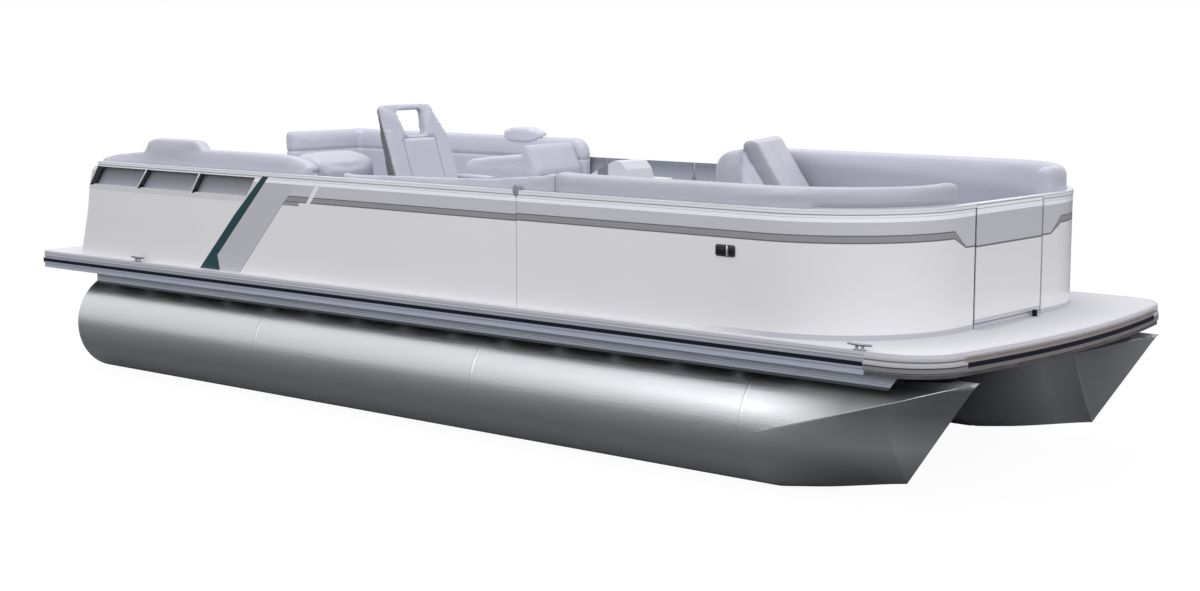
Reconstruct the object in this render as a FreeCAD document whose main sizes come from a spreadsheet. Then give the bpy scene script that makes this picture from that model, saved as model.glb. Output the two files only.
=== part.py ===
import FreeCAD, Part
import Sketcher
import math
import os

# Twin-tube pontoon boat. Millimetres; +X bow, +Y port, +Z up.
# Stations run forward from the stern edge of the deck, heights up from the deck top.

NAME = "pontoon_boat"
doc = FreeCAD.newDocument(NAME)
sheet = doc.addObject("Spreadsheet::Sheet", "P")

SIZES = [
    # name, value, meaning
    ("deck_len", 7065, "stern edge to bow centre, over the rub rail"),
    ("beam", 2590, "over the rub rail"),
    ("deck_t", 30, "deck board"),
    ("rail_w", 24, "rub rail thickness"),
    ("rail_h", 110, "rub rail height"),
    ("insert_t", 6, "rub insert standing proud"),
    ("insert_h", 30, "rub insert height"),
    ("insert_drop", 50, "deck top down to the insert"),
    ("corner_back", 383, "bow edge back to where the corner arc starts"),
    ("corner_rad", 300, "bow corner arc"),
    ("corner_dx", 283, "bow corner length along X"),
    ("corner_dy", 100, "end of the bow corner, outboard of its centre"),
    ("cap_back", 475, "bow edge back to the aft end of the corner caps"),
    ("cap_in", 292, "side of the deck in to the bow end of the corner caps"),
    ("bow_rise", 100, "crown of the bow edge"),
    ("stern_rad", 60, "stern corner radius"),
    ("well_half", 340, "motor well half width"),
    ("well_depth", 365, "motor well depth from the stern edge"),
    ("tube_rad", 317.5, "pontoon radius"),
    ("tube_station", 397, "pontoon stern end"),
    ("nose_len", 1046, "pontoon nose length"),
    ("tip_back", 49, "bow edge back to the nose tips"),
    ("keel_h", 6, "keel strip height"),
    ("tube_sink", 0.5, "tube let into the keel strip"),
    ("keel_w", 50, "keel strip width"),
    ("beam_w", 40, "cross member flange"),
    ("beam_h", 75, "cross member height"),
    ("riser_gap", 44.5, "tube top up to the cross members"),
    ("beam_t", 4, "cross member wall"),
    ("beam_in", 60, "side of the deck in to the ends of the cross members"),
    ("beam_first", 480, "first cross member station"),
    ("beam_back", 565, "bow edge back to the last cross member"),
    ("beam_count", 16, "cross members"),
    ("riser_half", 82, "riser half width"),
    ("riser_t", 5, "riser wall"),
    ("skirt_t", 5, "side skirt thickness"),
    ("skirt_h", 70, "side skirt height"),
    ("skirt_aft", 570, "skirt aft end"),
    ("skirt_back", 366, "bow edge back to the skirt's lower edge"),
    ("skirt_slope", 52, "lean of the skirt's fore end"),
    ("transom_station", 290, "aft face of the transom"),
    ("transom_t", 44, "transom thickness"),
    ("transom_half", 300, "transom half width"),
    ("transom_top", 75, "transom top above the deck"),
    ("transom_h", 635, "transom height"),
    ("pod_wall", 10, "pod knee and floor plate"),
    ("pod_station", 470, "aft face of the closed pod"),
    ("pod_len", 1300, "closed pod length"),
    ("bolt_rad", 6.75, "transom bolt hole radius"),
    ("bolt_upper", 327, "upper transom holes apart"),
    ("bolt_lower", 250.8, "lower transom holes apart"),
    ("bolt_top", 65, "transom top down to the upper holes"),
    ("bolt_drop", 203.2, "upper holes down to the lower holes"),
    ("fence_in", 75, "side of the deck in to the fence"),
    ("fence_t", 32, "fence thickness"),
    ("fence_h", 605, "panel height"),
    ("top_h", 25, "top rail height"),
    ("top_aft", 600, "aft end of the top rails"),
    ("top_lip", 3, "top rail overhang"),
    ("fence_back", 425, "bow edge back to the bow fence"),
    ("fence_rad", 700, "bow corner radius of the fence"),
    ("seam_back", 2723, "bow edge back to the seam of the side panels"),
    ("post_half", 350, "bow gate opening, half"),
    ("gate_gap", 8, "gate side gap"),
    ("gate_lift", 25, "gap under a gate"),
    ("port_gate_back", 3355, "bow edge back to the port gate opening"),
    ("port_gate_len", 750, "port gate opening"),
    ("stern_fence", 500, "aft face of the stern fence"),
    ("stern_fence_h", 550, "stern fence height"),
    ("stern_half", 390, "stern gate opening, half"),
    ("pin_off", 18, "hinge axis inside the gate's inner face"),
    ("pin_rad", 4, "hinge pin"),
    ("pin_run", 0.05, "hinge running clearance"),
    ("knuckle_rad", 9, "hinge knuckle"),
    ("knuckle_h", 50, "hinge knuckle length"),
    ("knuckle_gap", 5, "gap between knuckles"),
    ("leaf_t", 6, "hinge leaf"),
    ("tube_edge", 25, "rounding of the pontoon's stern edge"),
    ("base_h", 300, "seat base height"),
    ("base_t", 14, "seat base wall"),
    ("pad_t", 125, "seat cushion thickness"),
    ("back_t", 95, "backrest thickness"),
    ("soft_rad", 30, "rounding of the cushions"),
    ("move_gap", 8, "clearance round a lid"),
    ("bow_seat_w", 688, "bow base width"),
    ("star_bow_back", 2300, "bow edge back to the starboard bow base"),
    ("port_bow_back", 2825, "bow edge back to the port bow base"),
    ("bolster_back", 2485, "bow edge back to the starboard bolster"),
    ("star_back_top", 742, "starboard bow backrest top"),
    ("back_end_star", 18, "starboard bow backrest past the corner arc"),
    ("back_end_port", 20, "port bow backrest past the corner arc"),
    ("port_back_top", 765, "port backrest top"),
    ("chaise_back", 2075, "bow edge back to the chaise front, at the aisle"),
    ("chaise_wide", 590, "chaise back width"),
    ("rest_t", 130, "starboard bow rest thickness"),
    ("port_lid_back", 2060, "bow edge back to the port lid"),
    ("corner_lead", 102, "port corner seat aft of the fence's corner arc"),
    ("aft_seat_w", 588, "aft base width"),
    ("star_aft_back", 4435, "bow edge back to the starboard aft base"),
    ("arm_len", 420, "starboard aft arm"),
    ("aft_back_top", 745, "starboard aft backrest top"),
    ("helm_back", 2305, "bow edge back to the front of the helm"),
    ("helm_len", 640, "helm console length"),
    ("helm_in", 135, "helm console in from the fence's outer face"),
    ("helm_w", 745, "helm console width"),
    ("chair_back", 4015, "bow edge back to the chair's post"),
    ("chair_out", 455, "chair post from the middle plane"),
    ("wheel_back", 3105, "bow edge back to the wheel's hub"),
    ("pad_back", 2488, "bow edge back to the starboard side pad"),
    ("side_pad_len", 1665, "starboard side pad length"),
    ("port_aft_gap", 110, "port gate opening back to the port aft base"),
    ("port_arm_len", 690, "port aft arm"),
    ("return_fore", 1120, "port return seat, fore face"),
    ("return_in", 425, "port return seat, inboard end"),
    ("rest_h", 365, "starboard bow rest height above the seat base"),
    ("headrest_lap", 105, "main back below its top roll"),
    ("head_top", 800, "starboard headrest top"),
    ("back_end_rad", 110, "port aft backrest, rounding of its fore end"),
    ("pillow_back", 80, "port headrest aft of the arm's aft end"),
    ("pillow_len", 405, "port headrest length"),
    ("pillow_h", 58, "port headrest above the backrest"),
    ("pillow_drop", 50, "port headrest down the front of the backrest"),
    ("pillow_lap", 30, "port headrest lap over the front"),
    ("side_pad_low", 430, "side pad lower edge"),
    ("side_pad_top", 730, "side pad upper edge, fore end"),
    ("side_pad_t", 70, "side pad thickness"),
    ("helm_top", 665, "helm dash height"),
    ("cowl_top", 774, "helm cowl height"),
    ("well_reach", 440, "footwell depth"),
    ("well_top", 340, "footwell top"),
    ("wheel_in", 300, "wheel centre in from the helm's port side"),
    ("wheel_h", 505, "wheel hub height"),
    ("wheel_lean", 58, "steering axis from upright, degrees"),
    ("spindle_rad", 10, "steering spindle"),
    ("spindle_post", 24, "chair spindle"),
    ("turn_run", 0.05, "running clearance of the spindles"),
    ("hub_rad", 45, "wheel hub"),
    ("chair_h", 362, "chair seat plate height"),
    ("chair_half", 285, "chair half width"),
    ("arm_w", 62, "chair arm width"),
    ("cleat_in", 24, "side of the deck in to the cleats"),
    ("light_back", 1382, "bow edge back to the panel lights"),
    ("light_low", 376, "panel light foot"),
    ("light_h", 58, "panel light height"),
    ("light_len", 118, "panel light length"),
    ("wheel_rad", 165, "steering wheel rim radius"),
    ("wheel_tube", 13, "steering wheel rim tube"),
]


class Size:
    """A number together with the spreadsheet expression that gives it."""

    def __init__(self, value, text):
        self.value = float(value)
        self.text = text

    def pair(self, other):
        return other if isinstance(other, Size) else Size(other, repr(float(other)))

    def join(self, other, sign, value):
        return Size(value, "(%s %s %s)" % (self.text, sign, other.text))

    def __add__(self, other):
        other = self.pair(other)
        return self.join(other, "+", self.value + other.value)

    def __radd__(self, other):
        return self.pair(other) + self

    def __sub__(self, other):
        other = self.pair(other)
        return self.join(other, "-", self.value - other.value)

    def __rsub__(self, other):
        return self.pair(other) - self

    def __mul__(self, other):
        other = self.pair(other)
        return self.join(other, "*", self.value * other.value)

    def __rmul__(self, other):
        return self.pair(other) * self

    def __truediv__(self, other):
        other = self.pair(other)
        return self.join(other, "/", self.value / other.value)

    def __neg__(self):
        return Size(-self.value, "(0 - %s)" % self.text)

    def root(self):
        return Size(math.sqrt(self.value), "sqrt(%s)" % self.text)


class Sizes:
    pass


S = Sizes()
for row, (alias, value, meaning) in enumerate(SIZES, start=1):
    sheet.set("A%d" % row, alias)
    sheet.set("B%d" % row, str(value))
    sheet.setAlias("B%d" % row, alias)
    sheet.set("C%d" % row, meaning)
    setattr(S, alias, Size(value, "P." + alias))
doc.recompute()


def from_bow(distance):
    """Station of a place measured back from the bow edge."""
    return S.deck_len - distance


S.deck_z = S.keel_h + 2 * S.tube_rad - S.tube_sink + S.riser_gap + S.beam_h + S.deck_t
S.tube_y = S.beam / 2 - S.tube_rad
S.beam_half = S.beam / 2 - S.beam_in
S.fence_y = S.beam / 2 - S.fence_in
S.corner_station = from_bow(S.corner_back)
S.cap_station = from_bow(S.cap_back)
S.tip_station = from_bow(S.tip_back)
S.nose_station = S.tip_station - S.nose_len
S.beam_last = from_bow(S.beam_back)
S.skirt_low = from_bow(S.skirt_back)
S.skirt_top = S.skirt_low + S.skirt_slope
S.fence_bow = from_bow(S.fence_back)
S.seam_station = from_bow(S.seam_back)
S.port_gate_fore = from_bow(S.port_gate_back)
S.port_gate_aft = S.port_gate_fore - S.port_gate_len
S.port_aft_fore = S.port_gate_aft - S.port_aft_gap
S.star_bow_aft = from_bow(S.star_bow_back)
S.port_bow_aft = from_bow(S.port_bow_back)
S.star_aft_fore = from_bow(S.star_aft_back)


def size(number):
    return number if isinstance(number, Size) else Size(number, repr(float(number)))


def station(number):
    """X of a station measured forward from the stern edge."""
    return size(number) - S.deck_len / 2


def up(number):
    """Z of a height above the deck top."""
    return S.deck_z + number


def bind(obj, path, number):
    obj.setExpression(path, size(number).text)


# ---------------------------------------------------------------- part design

PLANES = {
    # plane: origin role, sign of the sketch normal on its axis
    "XY": ("XY_Plane", 1),
    "XZ": ("XZ_Plane", -1),
    "YZ": ("YZ_Plane", 1),
}


def new_body(name):
    body = doc.addObject("PartDesign::Body", name)
    body.Label = name
    body.AllowCompound = True
    return body


def origin_item(body, role):
    for item in body.Origin.OriginFeatures:
        if item.Role == role:
            return item
    raise RuntimeError("no origin item " + role)


def arc_between(start, end, radius, side):
    """Arc through two points; side +1 bulges to the right of the way along."""
    dx = end[0] - start[0]
    dy = end[1] - start[1]
    half = math.hypot(dx, dy) / 2
    rise = math.sqrt(max(radius * radius - half * half, 0.0))
    cx = (start[0] + end[0]) / 2 - side * rise * dy / (2 * half)
    cy = (start[1] + end[1]) / 2 + side * rise * dx / (2 * half)
    a0 = math.atan2(start[1] - cy, start[0] - cx)
    a1 = math.atan2(end[1] - cy, end[0] - cx)
    circle = Part.Circle(FreeCAD.Vector(cx, cy, 0), FreeCAD.Vector(0, 0, 1), radius)
    if side > 0:
        return Part.ArcOfCircle(circle, a0, a1 if a1 > a0 else a1 + 2 * math.pi)
    return Part.ArcOfCircle(circle, a1, a0 if a0 > a1 else a0 + 2 * math.pi)


def add_loop(sketch, loop):
    """loop: vertices (a, b) or (a, b, radius, side) when an arc leads to the next one."""
    corners = [(size(v[0]), size(v[1])) for v in loop]
    count = len(loop)
    first = sketch.GeometryCount
    ends = []
    for i, vertex in enumerate(loop):
        a = corners[i]
        b = corners[(i + 1) % count]
        start = (a[0].value, a[1].value)
        end = (b[0].value, b[1].value)
        if len(vertex) > 2:
            radius = size(vertex[2])
            index = sketch.addGeometry(arc_between(start, end, radius.value, vertex[3]), False)
            ends.append((1, 2) if vertex[3] > 0 else (2, 1))
            if len(vertex) > 4:
                centre = size(vertex[4])
                rule = Sketcher.Constraint("DistanceY", -1, 1, index, 3, centre.value)
            else:
                centre = radius
                rule = Sketcher.Constraint("Radius", index, radius.value)
            bind(sketch, "Constraints[%d]" % sketch.addConstraint(rule), centre)
        else:
            line = Part.LineSegment(FreeCAD.Vector(*start, 0), FreeCAD.Vector(*end, 0))
            sketch.addGeometry(line, False)
            ends.append((1, 2))
    for i in range(count):
        here = first + i
        after = first + (i + 1) % count
        sketch.addConstraint(Sketcher.Constraint(
            "Coincident", here, ends[i][1], after, ends[(i + 1) % count][0]))
        for kind, number in (("DistanceX", corners[i][0]), ("DistanceY", corners[i][1])):
            index = sketch.addConstraint(Sketcher.Constraint(
                kind, -1, 1, here, ends[i][0], number.value))
            bind(sketch, "Constraints[%d]" % index, number)


def add_circle(sketch, a, b, radius):
    a, b, radius = size(a), size(b), size(radius)
    centre = FreeCAD.Vector(a.value, b.value, 0)
    index = sketch.addGeometry(Part.Circle(centre, FreeCAD.Vector(0, 0, 1), radius.value), False)
    rows = (("DistanceX", a), ("DistanceY", b))
    for kind, number in rows:
        row = sketch.addConstraint(Sketcher.Constraint(kind, -1, 1, index, 3, number.value))
        bind(sketch, "Constraints[%d]" % row, number)
    row = sketch.addConstraint(Sketcher.Constraint("Radius", index, radius.value))
    bind(sketch, "Constraints[%d]" % row, radius)


def new_sketch(body, plane, level, loops=(), circles=()):
    role, sign = PLANES[plane]
    number = len([f for f in body.Group if f.TypeId == "Sketcher::SketchObject"])
    sketch = body.newObject("Sketcher::SketchObject", "%s_sketch%d" % (body.Name, number))
    sketch.AttachmentSupport = [(origin_item(body, role), "")]
    sketch.MapMode = "FlatFace"
    bind(sketch, "AttachmentOffset.Base.z", size(level) * sign)
    for loop in loops:
        add_loop(sketch, loop)
    for circle in circles:
        add_circle(sketch, *circle)
    return sketch


def pad(body, plane, loops, low, high, circles=()):
    sign = PLANES[plane][1]
    sketch = new_sketch(body, plane, low if sign > 0 else high, loops, circles)
    feature = body.newObject("PartDesign::Pad", body.Name + "_pad")
    feature.Profile = sketch
    bind(feature, "Length", size(high) - low)
    sketch.Visibility = False
    return feature


def pocket(body, plane, loops, low, high, circles=()):
    sign = PLANES[plane][1]
    doc.recompute()
    before = body.Shape.Volume
    sketch = new_sketch(body, plane, high if sign > 0 else low, loops, circles)
    feature = body.newObject("PartDesign::Pocket", body.Name + "_pocket")
    feature.Profile = sketch
    bind(feature, "Length", size(high) - low)
    sketch.Visibility = False
    doc.recompute()
    if not body.Shape.Volume < before - 1:
        raise RuntimeError("pocket removed nothing from " + body.Name)
    return feature


def edge_names(shape, test):
    names = []
    for i, edge in enumerate(shape.Edges, start=1):
        first, last = edge.ParameterRange
        middle = edge.valueAt((first + last) / 2)
        way = edge.valueAt(last) - edge.valueAt(first)
        if way.Length > 1e-6:
            way = way / way.Length
        if test(middle, way):
            names.append("Edge%d" % i)
    return names


def fillet(body, radius, test):
    doc.recompute()
    names = edge_names(body.Tip.Shape, test)
    if not names:
        raise RuntimeError("no edge to round on " + body.Name)
    feature = body.newObject("PartDesign::Fillet", body.Name + "_fillet")
    feature.Base = (body.Group[-2], names)
    bind(feature, "Radius", radius)
    return feature


def repeat(body, feature, role, length, count):
    pattern = body.newObject("PartDesign::LinearPattern", body.Name + "_row")
    pattern.Originals = [feature]
    pattern.Direction = (origin_item(body, role), [""])
    bind(pattern, "Length", length)
    bind(pattern, "Occurrences", count)
    body.Tip = pattern
    return pattern


def mirror_in(body, features):
    both = body.newObject("PartDesign::Mirrored", body.Name + "_mirror")
    both.Originals = features
    both.MirrorPlane = (origin_item(body, "XZ_Plane"), [""])
    body.Tip = both
    return both


# ---------------------------------------------------------------- plain parts

NODES = []


def node(obj, label=None):
    if label:
        obj.Label = label
    NODES.append(obj)
    return obj


def prism(name, plane, loops, low, high, circles=()):
    body = new_body(name)
    pad(body, plane, loops, low, high, circles)
    return body


def rectangle(a0, b0, a1, b1):
    return [(a0, b0), (a1, b0), (a1, b1), (a0, b1)]


def block(name, low, high, radius=None, test=None):
    body = prism(name, "XY", [rectangle(low[0], low[1], high[0], high[1])], low[2], high[2])
    if radius is not None:
        fillet(body, radius, test or (lambda middle, way: True))
    return body


AXES = {"x": (FreeCAD.Vector(0, 1, 0), 90), "y": (FreeCAD.Vector(1, 0, 0), -90),
        "z": (FreeCAD.Vector(0, 0, 1), 0)}


def place(obj, x, y, z, axis="z", turn=None):
    way, angle = turn or AXES[axis]
    obj.Placement = FreeCAD.Placement(FreeCAD.Vector(0, 0, 0), FreeCAD.Rotation(way, angle))
    bind(obj, "Placement.Base.x", x)
    bind(obj, "Placement.Base.y", y)
    bind(obj, "Placement.Base.z", z)


def cylinder(name, x, y, z, radius, height, axis="z", turn=None):
    obj = doc.addObject("Part::Cylinder", name)
    bind(obj, "Radius", radius)
    bind(obj, "Height", height)
    place(obj, x, y, z, axis, turn)
    return obj


def fuse(name, parts):
    obj = doc.addObject("Part::MultiFuse", name)
    obj.Shapes = parts
    obj.Label = name
    return obj


def group(name, parts):
    obj = doc.addObject("Part::Compound", name)
    obj.Links = parts
    obj.Label = name
    return obj


def cut(name, base, tool):
    obj = doc.addObject("Part::Cut", name)
    obj.Base = base
    obj.Tool = tool
    obj.Label = name
    return obj


def mirrored(name, source):
    obj = doc.addObject("Part::Mirroring", name)
    obj.Source = source
    obj.Normal = FreeCAD.Vector(0, 1, 0)
    obj.Label = name
    return obj


# ---------------------------------------------------------------- deck and rim

HALF = S.beam / 2


def rim(inset, well=False):
    """Deck outline, moved in by inset; the bow edge is crowned."""
    inset = size(inset)
    part = 1 - inset / S.corner_rad
    side = HALF - inset
    stern = station(inset)
    corner_x = station(S.corner_station)
    end_x = corner_x + S.corner_dx * part
    end_y = HALF - S.corner_rad + S.corner_dy * part
    radius = S.corner_rad - inset
    chord = HALF - S.corner_rad + S.corner_dy
    bow = (chord * chord + S.bow_rise * S.bow_rise) / (2 * S.bow_rise) - inset
    loop = [
        (stern, -(side - S.stern_rad), S.stern_rad, 1),
        (stern + S.stern_rad, -side),
        (corner_x, -side, radius, 1),
        (end_x, -end_y, bow, 1),
        (end_x, end_y, radius, 1),
        (corner_x, side),
        (stern + S.stern_rad, side, S.stern_rad, 1),
        (stern, side - S.stern_rad),
    ]
    if well:
        inner = station(S.well_depth) + inset
        reach = S.well_half + inset
        loop += [(stern, reach), (inner, reach), (inner, -reach), (stern, -reach)]
    return loop


EDGE = S.rail_w + S.insert_t
node(prism("deck", "XY", [rim(EDGE, well=True)], up(-S.deck_t), up(0)))

rub_rail = prism("rub_rail", "XY", [rim(S.insert_t), rim(EDGE)], up(-S.rail_h), up(0))
pocket(rub_rail, "XY", [rectangle(station(-50), -S.well_half - EDGE, station(EDGE + 1),
                                  S.well_half + EDGE)], up(-S.rail_h - 1), up(1))
node(rub_rail)

low_insert = up(-S.insert_drop - S.insert_h)
high_insert = up(-S.insert_drop)
FAR = HALF + 100
rub_insert = prism("rub_insert", "XY", [rim(0), rim(S.insert_t)], low_insert, high_insert)
cap_inner = HALF - S.cap_in
corner_zones = [rectangle(station(S.cap_station), sign * cap_inner, station(S.deck_len) + 50,
                          sign * FAR) for sign in (-1, 1)]
well_zone = rectangle(station(-50), -S.well_half - EDGE, station(EDGE + 1), S.well_half + EDGE)
pocket(rub_insert, "XY", corner_zones + [well_zone], low_insert - 1, high_insert + 1)
node(rub_insert)

caps = prism("corner_caps", "XY", [rim(0), rim(S.insert_t)], low_insert - 4, high_insert + 4)
pocket(caps, "XY", [rectangle(station(-50), -FAR, station(S.cap_station), FAR)],
       up(-S.rail_h), up(0))
pocket(caps, "XY", [rectangle(station(S.cap_station) - 1, -cap_inner,
                              station(S.deck_len) + 50, cap_inner)], up(-S.rail_h), up(0))
node(caps)

# ---------------------------------------------------------------- frame below

beam_top = up(-S.deck_t)
beam_low = beam_top - S.beam_h
pitch = (S.beam_last - S.beam_first)


def channel(x, top):
    """C profile opening forward, flanges top and bottom."""
    low = top - S.beam_h
    t = S.beam_t
    return [(x, low), (x + S.beam_w, low), (x + S.beam_w, low + t), (x + t, low + t),
            (x + t, top - t), (x + S.beam_w, top - t), (x + S.beam_w, top), (x, top)]


members = new_body("cross_members")
first = pad(members, "XZ", [channel(station(S.beam_first), beam_top)], -S.beam_half, S.beam_half)
repeat(members, first, "X_Axis", pitch, S.beam_count)
node(members)

tube_z = S.keel_h + S.tube_rad - S.tube_sink


def on_tube(offset):
    return tube_z + (S.tube_rad * S.tube_rad - offset * offset).root() + 0.1


def riser(sign):
    """Inverted U that stands on one tube."""
    out = S.riser_half
    inn = S.riser_half - S.riser_t
    y = S.tube_y * sign
    return [(y - out, on_tube(out)), (y - inn, on_tube(inn)), (y - inn, beam_low - S.riser_t),
            (y + inn, beam_low - S.riser_t), (y + inn, on_tube(inn)), (y + out, on_tube(out)),
            (y + out, beam_low), (y - out, beam_low)]


risers = new_body("riser_brackets")
first = pad(risers, "YZ", [riser(-1), riser(1)], station(S.beam_first) - 20,
            station(S.beam_first) + S.beam_w + 20)
repeat(risers, first, "X_Axis", pitch, S.beam_count)
node(risers)

skirt_bend = station(S.cap_station) - 50
skirt_low = up(-S.rail_h - S.skirt_h)
skirt_loop = [
    (station(S.skirt_aft), skirt_low),
    (station(S.skirt_low), skirt_low),
    (station(S.skirt_top), up(-S.rail_h)),
    (skirt_bend, up(-S.rail_h)),
    (skirt_bend, up(-60)),
    (station(S.skirt_aft), up(-60)),
]
skirts = new_body("side_skirts")
first = pad(skirts, "XZ", [skirt_loop], -S.beam_half - S.skirt_t, -S.beam_half)
mirror_in(skirts, [first])
node(skirts)

# ---------------------------------------------------------------- pontoons


def nose_section(body, s, keel, bulge):
    """Crease on the cylinder, V sides down to the keel line; heights from the tube centre."""
    share = (size(s) - S.nose_station) / S.nose_len
    high = S.tube_rad * share
    wide = (S.tube_rad * S.tube_rad - high * high).root()
    y = -S.tube_y
    loop = [
        (y + wide, tube_z + high, S.tube_rad, 1, tube_z),
        (y - wide, tube_z + high, bulge, 1),
        (y, tube_z + keel, bulge, 1),
    ]
    return new_sketch(body, "YZ", station(s), [loop])


NOSE = (
    # share of the nose length; keel depth and side radius as shares of the tube radius
    (0.2, 0.926, 1.32), (0.43, 0.79, 2.2), (0.654, 0.658, 4.72),
)
STEM = (0.803, 0.918, 0.9885)


def pontoon(name):
    body = new_body(name)
    pad(body, "YZ", [], station(S.tube_station), station(S.nose_station),
        circles=[(-S.tube_y, tube_z, S.tube_rad)])
    fillet(body, S.tube_edge, lambda middle, way: middle.x < station(S.tube_station).value + 1)
    r = S.tube_rad
    sections = [nose_section(body, S.nose_station, -r, r)]
    sections += [nose_section(body, S.nose_station + S.nose_len * share, -r * depth, r * bulge)
                 for share, depth, bulge in NOSE]
    stem = [sections[-1]]
    foot, depth, bulge = NOSE[-1]
    stem += [nose_section(body, S.nose_station + S.nose_len * share,
                          r * (1 + depth) / (1 - foot) * (share - foot) - r * depth, r * bulge)
             for share in STEM]
    for number, run in enumerate((sections, stem)):
        loft = body.newObject("PartDesign::AdditiveLoft", "%s_nose%d" % (name, number))
        loft.Profile = run[0]
        loft.Sections = run[1:]
        loft.Ruled = False
        for item in run:
            item.Visibility = False
    pad(body, "XY", [rectangle(station(S.tube_station) + 60, -S.tube_y - S.keel_w / 2,
                               station(S.nose_station) - 60, -S.tube_y + S.keel_w / 2)],
        0, S.keel_h + 5)
    return body


node(pontoon("starboard_pontoon"))
node(mirrored("port_pontoon", NODES[-1]))

# ---------------------------------------------------------------- motor pod

pod_aft = station(S.transom_station)
pod_low = up(S.transom_top - S.transom_h)
pod_front = station(S.pod_station)
bolt_high = up(S.transom_top - S.bolt_top)
bolt_low = bolt_high - S.bolt_drop
pod = new_body("motor_pod")
pad(pod, "XY", [rectangle(pod_aft, -S.transom_half, pod_aft + S.transom_t, S.transom_half)],
    pod_low, up(S.transom_top))
for edge in (-S.transom_half, S.transom_half - S.pod_wall):
    pad(pod, "XZ", [[(pod_aft + S.transom_t - 1, pod_low), (pod_front + 1, pod_low),
                     (pod_front + 1, beam_low), (pod_aft + S.transom_t - 1, beam_low + 60)]],
        edge, edge + S.pod_wall)
pad(pod, "XY", [rectangle(pod_aft + S.transom_t - 1, -S.transom_half + 1, pod_front + 1,
                          S.transom_half - 1)], pod_low, pod_low + S.pod_wall)
pad(pod, "XZ", [[(pod_front, pod_low), (pod_front + S.pod_len * 0.6, pod_low + 40),
                 (pod_front + S.pod_len, beam_low - 60), (pod_front + S.pod_len, beam_low),
                 (pod_front, beam_low)]], -S.transom_half, S.transom_half)
pocket(pod, "YZ", [], pod_aft - 1, pod_aft + S.transom_t + 1, circles=[
    (sign * wide / 2, level, S.bolt_rad) for sign in (-1, 1)
    for wide, level in ((S.bolt_upper, bolt_high), (S.bolt_lower, bolt_low))])
node(pod)

# ---------------------------------------------------------------- fence

outer = S.fence_y
inner = S.fence_y - S.fence_t
bow_out = station(S.fence_bow)
bow_in = bow_out - S.fence_t
seam = station(S.seam_station)
RAKE = (
    # station, height of the raked aft end
    (377, 0), (464, 297), (492, 465), (520, 540),
)
WINDOWS = (
    # aft bottom, fore bottom, fore top, aft top: stations of one pane
    (545, 1006, 1108, 642), (1034, 1560, 1646, 1140), (1590, 2100, 2190, 1678),
)
PANE_LOW = 478
PANE_TOP = 595


def side_panel(name, fore, sign):
    """Aft side panel with its raked end and the three open panes."""
    loop = [(station(fore), up(S.fence_h)), (station(S.top_aft), up(S.fence_h), 90, 1)]
    loop += [(station(s), up(h)) for s, h in reversed(RAKE)]
    loop += [(station(fore), up(0))]
    panes = [[(station(a), up(PANE_LOW)), (station(b), up(PANE_LOW)), (station(c), up(PANE_TOP)),
              (station(d), up(PANE_TOP))] for a, b, c, d in WINDOWS]
    low, high = (-outer, -inner) if sign < 0 else (inner, outer)
    return prism(name, "XZ", [loop] + panes, low, high)


def band(aft, out, into, end, sign):
    """Plan of a strip along one side and round its bow corner; out and into are offsets
    inwards from the fence's outer face."""
    y0 = S.fence_y - out
    y1 = S.fence_y - into
    x0 = bow_out - out
    x1 = bow_out - into
    turn_x = bow_out - S.fence_rad
    turn_y = S.fence_y - S.fence_rad
    r0 = S.fence_rad - out
    r1 = S.fence_rad - into
    return [
        (station(aft), sign * y0),
        (turn_x, sign * y0, r0, -sign),
        (x0, sign * turn_y),
        (x0, sign * end),
        (x1, sign * end),
        (x1, sign * turn_y, r1, sign),
        (turn_x, sign * y1),
        (station(aft), sign * y1),
    ]


node(side_panel("starboard_side_panel", S.seam_station, -1))
node(side_panel("port_side_panel", S.port_gate_aft, 1))
none = size(0)
node(prism("starboard_bow_panel", "XY",
           [band(S.seam_station, none, S.fence_t, S.post_half, -1)], up(0), up(S.fence_h)))
node(prism("port_bow_panel", "XY",
           [band(S.port_gate_fore, none, S.fence_t, S.post_half, 1)], up(0), up(S.fence_h)))

lip = S.top_lip
rail_low = up(S.fence_h)
rail_high = up(S.fence_h + S.top_h)
rails = new_body("top_rails")
pad(rails, "XY", [band(S.top_aft, -lip, S.fence_t, S.post_half, -1),
                  band(S.port_gate_fore, -lip, S.fence_t, S.post_half, 1),
                  rectangle(station(S.top_aft), inner, station(S.port_gate_aft), outer + lip)],
    rail_low, rail_high)
node(rails)

stern_x = station(S.stern_fence)
stern_in = stern_x + S.fence_t
node(prism("stern_fence", "XY", [
    rectangle(stern_x, sign * S.stern_half, stern_in, sign * inner) for sign in (-1, 1)],
    up(0), up(S.stern_fence_h)))

# ---------------------------------------------------------------- gates and hinges


KNUCKLE_FEET = (
    # share of the gate's height at the foot of each moving knuckle
    0.14, 0.72,
)


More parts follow.
